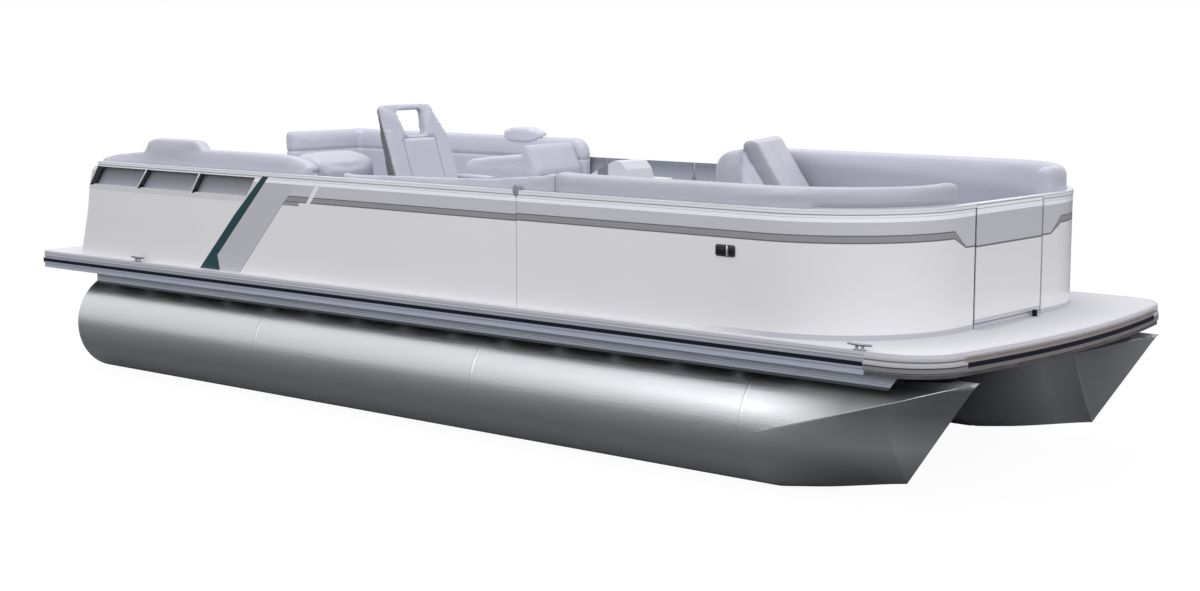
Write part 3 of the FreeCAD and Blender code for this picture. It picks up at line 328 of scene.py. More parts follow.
def satin_rail(name):
    """Satin extrusion with a painted shadow line at its foot, a fine groove near its top and
    painted shade on its inboard faces.
    """
    f = Finish(name, 0.3, 0.2)
    high = f.z - DECK_TOP
    shadow_line_and_groove = high.between(0.6035, 0.6085, 0.001) + high.between(0.6205, 0.6225) * 0.6
    cloud = f.noise(4, 2, stretch=(0.3, 0.3, 4))
    pale = f.mix(cloud, (0.74, 0.74, 0.80), (0.84, 0.84, 0.90))
    # painted shade: the inboard faces of the rail aft of the bow turn
    pale = f.mix(f.y.size().below(LINER + 0.004, 0.002) * f.x.below(BOW_TURN - STERN),
                 pale, (0.22, 0.23, 0.26))
    f.colour(f.mix(shadow_line_and_groove.clamp() * 0.75, pale, (0.16, 0.16, 0.19)))
    f.set_input("Roughness", cloud * 0.1 + 0.24)
    f.bump(1.0 - shadow_line_and_groove, 0.0008)
    return f


def polished(name):
    f = Finish(name, 0.12, 1.0)
    cloud = f.noise(30, 2)
    f.colour(f.mix(cloud, (0.66, 0.67, 0.69), (0.78, 0.79, 0.81)))
    f.set_input("Roughness", cloud * 0.1 + 0.08)
    f.bump(f.noise(240, 2), 0.0002)
    return f


def panel_paint(f, body):
    """Gloss paint with the faint long waves of thin sheet."""
    waves = f.noise(1.4, 2, stretch=(1, 1, 0.5))
    peel = f.noise(380, 1)
    f.colour(body)
    f.set_input("Roughness", peel * 0.08 + 0.2)
    f.bump(peel * 0.04 + waves, 0.0016)


def painted(name):
    return Finish(name, 0.25, 0.0, coat_weight=0.3, coat_roughness=0.1)


def body_shade(f):
    c = colours()
    return f.mix(f.noise(0.9, 3), tint(c.panel, 0.96), tint(c.panel, 1.04))


def banded(f, paint, high, low, top, where=None):
    """Stripe with darker edges, the grey band over it and the pale strip under the rail."""
    c = colours()
    stripe = high.between(low, top)
    edges = high.between(low, low + 0.007) + high.between(top - 0.006, top + 0.001)
    band = high.between(top, BAND_TOP)
    if where is not None:
        stripe = stripe * where
        edges = edges * where
        band = band * where
    paint = f.mix(stripe, paint, c.stripe)
    paint = f.mix(edges.clamp(), paint, tint(c.stripe, 0.5))
    return f.mix(band, paint, c.band)


def under_rail(f, paint, high):
    """Pale strip below the rail with two fine score lines."""
    c = colours()
    paint = f.mix(high.above(BAND_TOP), paint, c.strip)
    lines = high.between(BAND_TOP, BAND_TOP + 0.0025) + high.between(0.5905, 0.5935)
    return f.mix(lines.clamp() * 0.55, paint, c.stripe)


def seam_line(f, paint, across, place, width=0.006):
    """Shadow line where two sheets meet."""
    return f.mix(across.between(place - width / 2, place + width / 2, 0.001) * 0.8, paint,
                 (0.03, 0.03, 0.035))


def lined(f, paint, inside):
    """Grey inner skin of the fence, darker in the shade of the rail."""
    fall = ((f.z - DECK_TOP - 0.42) / 0.18).clamp()
    return f.mix(inside, paint, f.mix(fall, (0.50, 0.52, 0.58), (0.20, 0.21, 0.25)))


STRIPE_LOW = 0.463
STRIPE_TOP = 0.502
BAND_TOP = 0.568


def side_livery(name):
    """Side panels: stripe and band, a teal slash with a grey shadow beside it, and painted shade
    in the window band.
    """
    c = colours()
    f = painted(name)
    along = f.x + STERN
    high = f.z - DECK_TOP
    slash_aft = (high * 0.984 + 1.632).most(high * 1.10 + 1.590)
    slash_fore = (high * -0.227 + 1.83).most(high * 0.985 + 1.716).most(high * 1.12 + 1.636)
    grey_fore = high * 0.932 + 2.019
    past_slash = (along - slash_fore).above(0.0, 0.002)
    start = (along - (high * 1.0 + 1.988)).above(0.0, 0.002)
    paint = banded(f, body_shade(f), high, STRIPE_LOW, STRIPE_TOP, start)
    step = along.between(2.41, 2.58) * high.between(0.441, STRIPE_LOW + 0.001) * (
        along - high * 1.0).below(2.139, 0.002) * start
    paint = f.mix(step, paint, c.stripe)
    gap = (along - high * 0.79).between(2.281, 2.318, 0.002) * high.between(0.455, BAND_TOP)
    paint = f.mix(gap, paint, tint(c.panel, 1.05))
    shadow = past_slash * (along - grey_fore).below(0.0, 0.002) * high.below(STRIPE_LOW + 0.02)
    shadow = shadow.most(past_slash * (1.0 - start) * high.between(STRIPE_LOW, BAND_TOP))
    paint = f.mix(shadow, paint, tint(c.band, 0.92))
    rim = (along - grey_fore).between(-0.003, 0.003, 0.002) * high.below(STRIPE_LOW)
    paint = f.mix(rim * 0.7, paint, tint(c.stripe, 0.6))
    slash = (along - slash_aft).above(0.0, 0.002) * (1.0 - past_slash)
    around = high.between(0.44, BAND_TOP) * (along - slash_aft).below(0.0, 0.002)
    paint = f.mix(around * 0.55, paint, c.band)
    paint = under_rail(f, paint, high)
    paint = f.mix(slash, paint, c.slash)
    # painted shade: near black over the aft corner of the window band and in a strip beside each
    # mullion
    pane_edge = along - high * 0.829
    corner = (along - high * 0.75).above(0.146, 0.002) * pane_edge.below(0.150, 0.002)
    for place, slope in ((0.593, 0.889), (1.217, 0.745)):
        shadow_band = (along - high * slope).between(place, place + 0.03, 0.002)
        corner = corner.most(shadow_band * high.above(0.470))
    paint = f.mix(corner * high.between(0.470, 0.5965), paint, (0.012, 0.012, 0.014))
    paint = lined(f, paint, f.y.size().below(LINER + 0.002))
    panel_paint(f, paint)
    return f


def bow_livery(name):
    """Bow corner panels: the stripe runs round the corner and steps down towards the gate."""
    c = colours()
    f = painted(name)
    along = f.x + STERN
    high = f.z - DECK_TOP
    reach = f.y.size()
    front = along.above(6.45, 0.002)
    drop = ((0.557 - reach) / 0.111).clamp() * front
    low = STRIPE_LOW + 0.004 - drop * 0.052
    top = STRIPE_TOP + 0.006 - drop * 0.085
    stripe = (high - low).above(0.0) * (high - top).below(0.0)
    edges = ((high - low).above(0.0) * (high - low).below(0.007)).most(
        (high - top).above(-0.006) * (high - top).below(0.001))
    paint = f.mix(stripe, body_shade(f), c.stripe)
    paint = f.mix(edges, paint, tint(c.stripe, 0.5))
    paint = f.mix((high - top).above(0.0) * high.below(BAND_TOP), paint, c.band)
    paint = under_rail(f, paint, high)
    paint = seam_line(f, paint, along, SEAM)
    foot = high.below(0.026, 0.003) * along.above(5.75, 0.5)
    paint = f.mix(foot, paint, tint(c.band, 0.88))
    # painted shadow in the gaps beside the bow gate: black on the starboard side, grey on the port
    # side
    edge = reach.between(0.350, 0.3590) * front
    paint = f.mix(edge * f.y.below(0.0), paint, (0.03, 0.03, 0.035))
    paint = f.mix(edge * f.y.above(0.0) * 0.6, paint, (0.15, 0.15, 0.17))
    paint = lined(f, paint, reach.below(LINER + 0.002) * along.below(BOW_TURN - 0.01))
    panel_paint(f, paint)
    return f


def gate_livery(name):
    """Gates: one tall grey band over a thin line."""
    c = colours()
    f = painted(name)
    high = f.z - DECK_TOP
    paint = f.mix(high.between(0.415, BAND_TOP + 0.005), body_shade(f), tint(c.band, 0.96))
    paint = f.mix(high.between(0.409, 0.419), paint, tint(c.stripe, 0.6))
    paint = f.mix(high.below(0.047, 0.002), paint, tint(c.band, 0.95))
    paint = f.mix(high.above(BAND_TOP + 0.005), paint, c.strip)
    lines = high.between(0.600, 0.604) + high.between(0.618, 0.625)
    paint = f.mix(lines.clamp() * 0.7, paint, tint(c.stripe, 0.5))
    panel_paint(f, paint)
    return f


def plain_panel(name):
    c = colours()
    f = Finish(name, 0.25, 0.0, coat_weight=0.4, coat_roughness=0.08)
    panel_paint(f, f.mix(f.noise(0.9, 3), tint(c.panel, 0.93), tint(c.panel, 1.04)))
    return f


def rub_plastic(name):
    """Taupe grey extrusion, scuffed along its edges, with bands that are partly painted highlight
    and shade.
    """
    f = Finish(name, 0.45, 0.0)
    scuffs = f.noise(30, 4, stretch=(0.3, 0.3, 2))
    high = f.z - DECK_TOP
    front = f.x.above(BOW - 0.47, 0.01)
    crown = f.x.above(BOW - 0.30, 0.03) * f.y.size().below(1.02, 0.03)
    paint = f.mix(scuffs, (0.46, 0.45, 0.50), (0.54, 0.53, 0.58))
    # painted light: the same band gets other tones at the corners and across the bow, and the
    # lowest two bands are painted shade, near black there
    rows = (
        # from, to (below the deck top), colour on the sides, at the corners, across the bow
        (-0.014, -0.003, (0.50, 0.50, 0.56), (0.60, 0.60, 0.65), (0.66, 0.64, 0.67)),
        (-0.022, -0.014, (0.33, 0.33, 0.38), (0.52, 0.52, 0.56), (0.46, 0.44, 0.46)),
        (-0.030, -0.022, (0.50, 0.50, 0.56), (0.42, 0.42, 0.45), (0.24, 0.21, 0.21)),
        (-0.038, -0.030, (0.22, 0.23, 0.28), (0.12, 0.12, 0.13), (0.14, 0.12, 0.12)),
        (-0.052, -0.038, (0.30, 0.305, 0.355), (0.46, 0.46, 0.49), (0.24, 0.21, 0.20)),
        (-0.092, -0.078, (0.34, 0.36, 0.44), (0.10, 0.10, 0.105), (0.17, 0.15, 0.145)),
        (-0.120, -0.092, (0.38, 0.40, 0.49), (0.045, 0.045, 0.05), (0.03, 0.028, 0.03)),
    )
    for low, top, side, corner, bow in rows:
        tone = f.mix(crown, f.mix(front, side, corner), bow)
        paint = f.mix(high.between(low, top, 0.002) * (scuffs * 0.3 + 0.8).clamp(), paint, tone)
    f.colour(paint)
    f.set_input("Roughness", scuffs * 0.25 + 0.32)
    f.bump(scuffs, 0.0006)
    return f


def dark_rubber(name):
    f = Finish(name, 0.5, 0.0)
    f.set_input("Specular IOR Level", 0.12)
    dust = f.noise(40, 4)
    high = f.z - DECK_TOP
    front = f.x.above(BOW - 0.46, 0.01)
    paint = f.mix(dust, (0.002, 0.003, 0.008), (0.008, 0.010, 0.020))
    paint = f.mix(front * high.between(-0.090, -0.072, 0.002), paint, (0.20, 0.18, 0.175))
    paint = f.mix((1.0 - front) * high.between(-0.090, -0.070, 0.002), paint, (0.32, 0.34, 0.42))
    f.colour(paint)
    f.set_input("Roughness", dust * 0.3 + 0.5)
    f.bump(dust, 0.0004)
    return f


def pale_cap(name):
    f = Finish(name, 0.35, 0.0)
    cloud = f.noise(20, 3)
    high = f.z - DECK_TOP
    paint = f.mix(cloud, (0.42, 0.41, 0.44), (0.50, 0.49, 0.52))
    paint = f.mix(high.between(-0.066, -0.058, 0.002), paint, (0.05, 0.05, 0.055))
    paint = f.mix(high.below(-0.066, 0.002), paint, (0.20, 0.198, 0.21))
    f.colour(paint)
    f.set_input("Roughness", cloud * 0.2 + 0.28)
    f.bump(cloud, 0.0004)
    return f


def skirt_metal(name):
    """Blue-grey sheet with fine pressed ribs along it."""
    f = Finish(name, 0.35, 0.3)
    high = f.z - DECK_TOP
    ribs = high.wrap(0.011).above(0.0028, 0.0012)
    cloud = f.noise(5, 3)
    pale = f.mix(cloud, (0.50, 0.53, 0.61), (0.58, 0.61, 0.69))
    paint = f.mix(ribs * 0.8 + 0.2, (0.34, 0.37, 0.44), pale)
    f.colour(f.mix(high.below(-0.166, 0.003), paint, (0.08, 0.085, 0.10)))
    f.set_input("Roughness", cloud * 0.15 + 0.28)
    f.bump(ribs, 0.003)
    return f


def deck_weave(name):
    """Woven vinyl: two crossing sets of threads with slubs."""
    c = colours()
    f = Finish(name, 0.8, 0.0)
    warp = f.x.wave(0.006)
    weft = f.y.wave(0.006)
    threads = warp.most(weft)
    slub = f.noise(160, 3, stretch=(1, 4, 1))
    cloud = f.noise(0.8, 3)
    shade = f.mix(slub, tint(c.deck, 0.8), tint(c.deck, 1.1))
    paint = f.mix(threads * 0.25 + cloud * 0.12, tint(c.deck, 0.72), shade)
    # painted shade: near black on the underside, more than 29 mm below the deck top
    f.colour(f.mix(f.z.below(DECK_TOP - 0.029, 0.001), paint, (0.05, 0.048, 0.045)))
    f.set_input("Roughness", slub * 0.2 + 0.68)
    f.bump(threads, 0.0008)
    return f


def seam_axes(x, y, z):
    """The directions that seams are laid out in; w is y turned with the lounge."""
    return {"x": x, "y": y, "z": z, "w": x * -TURN_SIN + y * TURN_COS}


def vinyl_cover(name, base, seams=(), painted_shade_side=None):
    """Soft upholstery vinyl: pebble grain, slow creases, sewn seams with their stitches, and
    painted shade over one side where given.
    """
    f = Finish(name, 0.45, 0.0, sheen_weight=0.12)
    pebble = f.cells(520)
    crease = f.noise(9, 4, stretch=(1, 1, 0.6))
    cloud = f.noise(2.2, 3)
    paint = f.mix(cloud * 0.7 + pebble * 0.3, tint(base, 0.92), tint(base, 1.06))
    pull = crease * 0.0
    for seam in seams:
        off, along, limit = seam_fields(f, seam)
        sewn = off.below(0.0022, 0.0012) * limit
        stitch = (off - 0.0065).size().below(0.0009, 0.0006) * along.wave(0.008).above(0.35, 0.3)
        paint = f.mix(sewn * 0.75, paint, tint(base, 0.35))
        paint = f.mix(stitch * limit * 0.6, paint, tint(base, 1.25))
        pull = pull.most(off.below(0.010, 0.016) * limit)
    # painted shade: a darker tone over one side of the cushion, past a slanted line
    if painted_shade_side is not None:
        side, level, soft, tone = painted_shade_side
        slant = {
            "y": f.y - (f.z - SEAT) * 0.068,
            "w": seam_axes(f.x, f.y, f.z)["w"],
            "u": f.x * TURN_COS + f.y * TURN_SIN,
            "v": f.z + f.x * SHADE_FALL + f.y.above(1.13, 0.02),
        }[side]
        share = slant.below(level, soft)
        if side == "y":
            share = share * (f.x + (f.z - SEAT) * 0.42).below(CHAIR_REAR, 0.010)
        paint = f.mix(share, paint, tone)
    f.colour(paint)
    f.set_input("Roughness", pebble * 0.15 + crease * 0.12 + 0.32)
    soft = f.bump(crease - pull * 0.5, 0.006)
    f.bump(pebble, 0.0004, soft)
    return f


def seam_fields(f, seam):
    """Distance from a seam, a run along it and where it is sewn."""
    way, place, across, low, high = seam
    axes = seam_axes(f.x, f.y, f.z)
    off = (axes[way] - place).size()
    along = f.x + f.y if way == "z" else f.z
    limit = axes[across].between(low, high, 0.01)
    return off, along, limit


def moulded(name):
    """Seat bases and console: moulded plastic with a light texture."""
    f = Finish(name, 0.35, 0.0)
    stipple = f.noise(520, 2)
    cloud = f.noise(2, 3)
    f.colour(f.mix(cloud, (0.50, 0.50, 0.53), (0.58, 0.58, 0.61)))
    f.set_input("Roughness", stipple * 0.2 + 0.3)
    f.bump(stipple, 0.0004)
    return f


def grey_sill(name):
    """Lavender grey sill with fine tread lines; on the thin plate in front of the bow gate it is
    painted shadow.
    """
    f = Finish(name, 0.4, 0.0)
    tread = f.x.wrap(0.009).below(0.0012, 0.0008)
    cloud = f.noise(8, 3)
    pale = f.mix(cloud, (0.48, 0.48, 0.53), (0.55, 0.55, 0.60))
    f.colour(f.mix(tread * 0.2, pale, (0.25, 0.25, 0.28)))
    f.set_input("Roughness", cloud * 0.2 + 0.35)
    f.bump(tread, 0.0006)
    return f


def smoked_pane(name):
    """Sheet behind the side windows as painted shade: dark under the rail and paler below."""
    f = Finish(name, 0.25, 0.0)
    rise = ((f.z - DECK_TOP - 0.478) / 0.117).clamp()
    haze = f.noise(3, 3)
    tone = f.mix(rise, (0.36, 0.36, 0.42), (0.10, 0.10, 0.115))
    f.colour(f.mix(haze * 0.15, tone, (0.14, 0.14, 0.16)))
    f.set_input("Roughness", haze * 0.15 + 0.4)
    f.bump(f.noise(300, 2), 0.0002)
    return f


def console_white(name):
    f = Finish(name, 0.2, 0.0, coat_weight=0.3)
    stipple = f.noise(300, 2)
    cloud = f.noise(1.5, 3)
    paint = f.mix(cloud, (0.54, 0.54, 0.585), (0.62, 0.62, 0.665))
    cowl = f.z.above(DECK_TOP + 0.666, 0.004)
    # painted shade: a dark band across the cowl
    shadow_band = cowl * f.x.between(0.955, 1.03, 0.008)
    paint = f.mix(cowl * 0.35, paint, (0.42, 0.42, 0.50))
    f.colour(f.mix(shadow_band, paint, (0.16, 0.16, 0.20)))
    f.set_input("Roughness", stipple * 0.1 + 0.16)
    f.bump(cloud + stipple * 0.05, 0.0006)
    return f


def black_plastic(name):
    f = Finish(name, 0.4, 0.0)
    stipple = f.noise(480, 2)
    f.colour(f.mix(stipple, (0.012, 0.012, 0.014), (0.03, 0.03, 0.034)))
    f.set_input("Roughness", stipple * 0.25 + 0.3)
    f.bump(stipple, 0.0004)
    return f


def dark_lens(name):
    """Dark glossy lens or screen with a faint cast."""
    f = Finish(name, 0.08, 0.0)
    f.set_input("Specular IOR Level", 0.3)
    cloud = f.noise(30, 2)
    f.colour(f.mix(cloud, (0.004, 0.004, 0.006), (0.012, 0.013, 0.017)))
    f.set_input("Roughness", cloud * 0.08 + 0.06)
    f.bump(cloud, 0.0002)
    return f


def grey_fitting(name):
    """Mid grey moulded fitting."""
    f = Finish(name, 0.4, 0.0)
    stipple = f.noise(300, 2)
    f.colour(f.mix(stipple, (0.20, 0.205, 0.235), (0.27, 0.275, 0.31)))
    f.set_input("Roughness", stipple * 0.2 + 0.3)
    f.bump(stipple, 0.0003)
    return f


def cleat_metal(name):
    """Cast cleats, dulled by weather."""
    f = Finish(name, 0.35, 1.0)
    pits = f.noise(160, 3)
    f.colour(f.mix(pits, (0.16, 0.165, 0.19), (0.34, 0.35, 0.38)))
    f.set_input("Roughness", pits * 0.3 + 0.25)
    f.bump(pits, 0.0004)
    return f


def bright_fold(name):
    """Polished fold of sheet metal, with a painted highlight near the nose tip."""
    f = Finish(name, 0.25, 1.0)
    cloud = f.noise(40, 3)
    shade = f.mix(cloud, (0.30, 0.305, 0.315), (0.40, 0.405, 0.42))
    # painted highlight: near white towards the nose tip
    f.colour(f.mix((f.x - NOSE).above(0.86, 0.14), shade, (0.85, 0.86, 0.88)))
    f.set_input("Roughness", cloud * 0.2 + 0.35)
    f.bump(cloud, 0.0003)
    return f


MAKERS = {
    "dark_lens": dark_lens, "cleat_metal": cleat_metal,
    "grey_fitting": grey_fitting, "bright_fold": bright_fold,
    "tube_skin": tube_skin, "mill_metal": mill_metal, "satin_rail": satin_rail,
    "polished": polished, "side_livery": side_livery, "bow_livery": bow_livery,
    "gate_livery": gate_livery, "plain_panel": plain_panel, "rub_plastic": rub_plastic,
    "dark_rubber": dark_rubber, "pale_cap": pale_cap, "skirt_metal": skirt_metal,
    "deck_weave": deck_weave, "moulded": moulded, "smoked_pane": smoked_pane,
    "grey_sill": grey_sill,
    "console_white": console_white, "black_plastic": black_plastic,
}

NODE_FINISH = {
    "starboard_pontoon": "tube_skin", "port_pontoon": "tube_skin",
    "cross_members": "mill_metal", "riser_brackets": "mill_metal", "motor_pod": "mill_metal",
    "deck": "deck_weave", "rub_rail": "rub_plastic", "rub_insert": "dark_rubber",
    "corner_caps": "pale_cap", "side_skirts": "skirt_metal",
    "starboard_side_panel": "side_livery", "port_side_panel": "side_livery",
    "starboard_bow_panel": "bow_livery", "port_bow_panel": "bow_livery",
    "stern_fence": "plain_panel", "bow_gate": "gate_livery", "port_gate": "bow_livery",
    "stern_gate": "plain_panel", "top_rails": "satin_rail",
    "bow_gate_hinges": "polished", "port_gate_hinges": "polished",
    "stern_gate_hinges": "polished",
    "starboard_bow_base": "moulded", "port_bow_base": "moulded",
    "starboard_aft_base": "moulded", "port_aft_base": "moulded",
    "helm_console": "console_white", "steering_column": "black_plastic",
    "steering_wheel": "black_plastic", "throttle": "black_plastic",
    "chair_pedestal": "polished", "chair_swivel": "mill_metal",
    "boarding_ladder": "polished", "ladder_brackets": "polished",
}


def dress_node(name, material):
    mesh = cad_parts[name].data
    mesh.materials.clear()
    mesh.materials.append(material)


class BOAT_OT_finish_frame(bpy.types.Operator):
    """Give the rigid nodes of the frame their finishes"""
    bl_idname = "boat.finish_frame"
    bl_label = "Finish frame"

    def execute(self, context):
        for name, kind in NODE_FINISH.items():
            dress_node(name, finish(kind))
        return {"FINISHED"}


# ------------------------------------------------------------------ made pieces

class Shape:
    """Closed forms gathered into one piece."""

    def __init__(self):
        self.mesh = bmesh.new()

    def skin(self, rings):
        """Skin over equal rings of points, closed at both ends."""
        rows = [[self.mesh.verts.new(point) for point in ring] for ring in rings]
        for near, far in zip(rows, rows[1:]):
            for i in range(len(near)):
                j = (i + 1) % len(near)
                self.mesh.faces.new((near[i], near[j], far[j], far[i]))
        self.mesh.faces.new(rows[0])
        self.mesh.faces.new(rows[-1])

    def prism(self, outline, low, high, plane="XZ"):
        """Outline in a plane, run across it from low to high."""
        order = {"XY": (0, 1, 2), "XZ": (0, 2, 1), "YZ": (2, 0, 1)}[plane]
        rings = []
        for level in (low, high):
            flat = [(a, b, level) for a, b in outline]
            rings.append([tuple(point[i] for i in order) for point in flat])
        self.skin(rings)

    def slab(self, low, high):
        self.prism([(low[0], low[1]), (high[0], low[1]), (high[0], high[1]), (low[0], high[1])],
                   low[2], high[2], "XY")

    def turned(self, foot, way, profile, count=32):
        """Profile of (distance along, radius) turned about an axis from foot."""
        way = Vector(way).normalized()
        across = way.orthogonal().normalized()
        over = way.cross(across)
        turns = [2 * math.pi * i / count for i in range(count)]
        self.skin([[Vector(foot) + way * run + (across * math.cos(t) + over * math.sin(t)) * radius
                    for t in turns] for run, radius in profile])

    def bar(self, points, radii, count=12):
        """Round bar along points, with a radius at each."""
        points = [Vector(point) for point in points]
        rings = []
        for i, point in enumerate(points):
            way = (points[min(i + 1, len(points) - 1)] - points[max(i - 1, 0)]).normalized()
            across = way.cross(Vector((0.05, 0.02, 1))).normalized()
            over = way.cross(across)
            rings.append([point + (across * math.cos(t) + over * math.sin(t)) * radii[i]
                          for t in (2 * math.pi * k / count for k in range(count))])
        self.skin(rings)

    def done(self, name, body, kind, bevel=0.0, stands_for=()):
        """Make the object, soften its edges and let it ride on a body."""
        bmesh.ops.recalc_face_normals(self.mesh, faces=self.mesh.faces)
        mesh = bpy.data.meshes.new(name)
        self.mesh.to_mesh(mesh)
        self.mesh.free()
        obj = bpy.data.objects.new(name, mesh)
        bpy.context.scene.collection.objects.link(obj)
        if bevel:
            edge = obj.modifiers.new("edge", "BEVEL")
            edge.width = bevel
            edge.segments = 3
            edge.limit_method = "ANGLE"
            edge.angle_limit = math.radians(35)
            settle(obj, edge)
        smooth(obj)
        obj.data.set_sharp_from_angle(angle=math.radians(38))
        obj.data.materials.append(finish(kind))
        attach(obj, body)
        if stands_for:
            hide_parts(*stands_for)
        return obj


def rounded(x0, z0, x1, z1, radius, steps=5):
    """Rectangle with rounded corners."""
    points = []
    for cx, cz, first in ((x1 - radius, z1 - radius, 0), (x0 + radius, z1 - radius, 1),
                          (x0 + radius, z0 + radius, 2), (x1 - radius, z0 + radius, 3)):
        for i in range(steps + 1):
            turn = math.pi / 2 * (first + i / steps)
            points.append((cx + radius * math.cos(turn), cz + radius * math.sin(turn)))
    return points


class BOAT_OT_tube_creases(bpy.types.Operator):
    """Fold lines of the pontoon noses and their drain plugs"""
    bl_idname = "boat.tube_creases"
    bl_label = "Tube creases"

    def execute(self, context):
        for side in ("starboard", "port"):
            node = side + "_pontoon"
            low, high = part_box(node)
            middle = (low.y + high.y) / 2
            radius = (high.y - low.y) / 2
            axis = high.z - radius
            crease = Shape()
            for way in (-1, 1):
                points = []
                for step in range(10, 97, 2):
                    share = step / 100
                    point = Vector((NOSE + NOSE_LENGTH * share,
                                    middle + way * radius * math.sqrt(1 - share * share) * 0.999,
                                    axis + radius * share))
                    _, spot, normal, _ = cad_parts[node].closest_point_on_mesh(point)
                    points.append(spot - normal * 0.001)
                crease.bar(points, [0.0024] * len(points), 8)
            crease.done(side + "_nose_creases", "hull", "bright_fold")
            # painted shade: a dark rubber block in the gap between the nose top and the rail
            pad = Shape()
            pad.prism([(high.x - 0.30, middle - 0.12), (high.x - 0.11, middle - 0.035),
                       (high.x - 0.11, middle + 0.035), (high.x - 0.30, middle + 0.12)],
                      high.z - 0.004, DECK_TOP - 0.112, "XY")
            pad.done(side + "_nose_pad", "hull", "dark_rubber", 0.003)
            plug = Shape()
            plug.turned((low.x + 0.004, middle, axis - radius * 0.72), (-1, 0, 0),
                        [(0, 0.017), (0.006, 0.017), (0.008, 0.011), (0.012, 0.010)], 6)
            plug.done(side + "_drain_plug", "hull", "polished", 0.0008)
        return {"FINISHED"}


class BOAT_OT_fence_trim(bpy.types.Operator):
    """Sheets of painted shade behind the side windows, gate sills with a plate of painted shadow
    before the bow gate, rail joiner, lamps and the gate stop
    """
    bl_idname = "boat.fence_trim"
    bl_label = "Fence trim"

    def execute(self, context):
        for side, way in (("starboard", -1), ("port", 1)):
            # painted shade: a dark sheet inside each row of open panes
            pane = Shape()
            outline = [(a - STERN, DECK_TOP + b) for a, b in (
                (0.530, 0.468), (2.115, 0.468), (2.215, 0.605), (0.640, 0.605))]
            edges = sorted((way * (LINER - 0.0022), way * (LINER - 0.0004)))
            pane.prism(outline, edges[0], edges[1])
            pane.done(side + "_smoked_panes", "hull", "smoked_pane")
            self.lamp(side, way)
        low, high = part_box("bow_gate")
        sill = Shape()
        sill.slab((low.x + 0.008, low.y - 0.006, DECK_TOP), (high.x - 0.002, high.y - 0.006,
                                                            DECK_TOP + 0.0195))
        # painted shadow: a thin tapered plate on the deck in front of the bow gate, wider at its
        # starboard end
        sill.prism([(high.x - 0.008, low.y - 0.008), (high.x + 0.060, low.y - 0.008),
                    (high.x + 0.075, low.y + 0.030), (high.x + 0.050, high.y - 0.120),
                    (high.x + 0.030, high.y - 0.060), (high.x - 0.008, high.y - 0.060)],
                   DECK_TOP, DECK_TOP + 0.0025, "XY")
        sill.done("bow_gate_sill_and_shadow", "hull", "grey_sill", 0.0014)
        low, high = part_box("stern_gate")
        sill = Shape()
        sill.slab((low.x + 0.004, low.y, DECK_TOP), (low.x + 0.030, high.y, DECK_TOP + 0.015))
        sill.done("stern_gate_sill", "hull", "satin_rail", 0.004)
        low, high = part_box("port_gate")
        sill = Shape()
        sill.slab((low.x, high.y - 0.030, DECK_TOP), (high.x - 0.012, high.y - 0.003,
                                                     DECK_TOP + 0.015))
        sill.done("port_gate_sill", "hull", "satin_rail", 0.004)
        joiner = Shape()
        seam = SEAM - STERN
        joiner.prism([(seam + a, DECK_TOP + b) for a, b in (
            (-0.010, 0.596), (0.010, 0.596), (0.024, 0.618), (0.024, 0.640), (0.017, 0.654),
            (0.007, 0.660), (-0.007, 0.660), (-0.017, 0.654), (-0.024, 0.640),
            (-0.024, 0.618))], -FENCE - 0.004, -FENCE + 0.016)
        joiner.done("rail_joiner", "hull", "grey_fitting", 0.005)
        low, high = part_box("gate_bumper")
        stop = Shape()
        stop.turned(((low.x + high.x) / 2, (low.y + high.y) / 2, low.z), (0, 0, 1),
                    [(0, 0.0135), (0.003, 0.0148), (0.006, 0.0135), (0.010, 0.0130),
                     (0.022, 0.0150), (0.030, 0.0138), (0.035, 0.0095), (0.0375, 0.002)])
        stop.done("gate_stop", "hull", "dark_rubber", 0, ("gate_bumper",))
        return {"FINISHED"}

    def lamp(self, side, way):
        """Black housing, dark lens, bright upright."""
        low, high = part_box("panel_lights")
        x0, x1, z0, z1 = low.x, high.x, low.z, high.z

        def raised(name, outline, near, far, kind, bevel, stands_for=()):
            made = Shape()
            edges = sorted((way * (FENCE + near), way * (FENCE + far)))
            made.prism(outline, edges[0], edges[1])
            made.done(side + name, "hull", kind, bevel, stands_for)

        raised("_lamp_housing", rounded(x0, z0, x1, z1, 0.012), -0.0005, 0.007,
               "black_plastic", 0.002, ("panel_lights",) if way < 0 else ())
        raised("_lamp_lens", rounded(x0 + 0.006, z0 + 0.007, x0 + 0.062, z1 - 0.007, 0.008),
               0.005, 0.0108, "dark_lens", 0.0025)
        raised("_lamp_upright", rounded(x0 + 0.068, z0 + 0.003, x0 + 0.079, z1 - 0.003, 0.004),
               0.005, 0.0115, "polished", 0.002)
        raised("_lamp_end", rounded(x0 + 0.084, z0 + 0.010, x1 - 0.006, z1 - 0.010, 0.007),
               0.005, 0.0095, "dark_lens", 0.002)


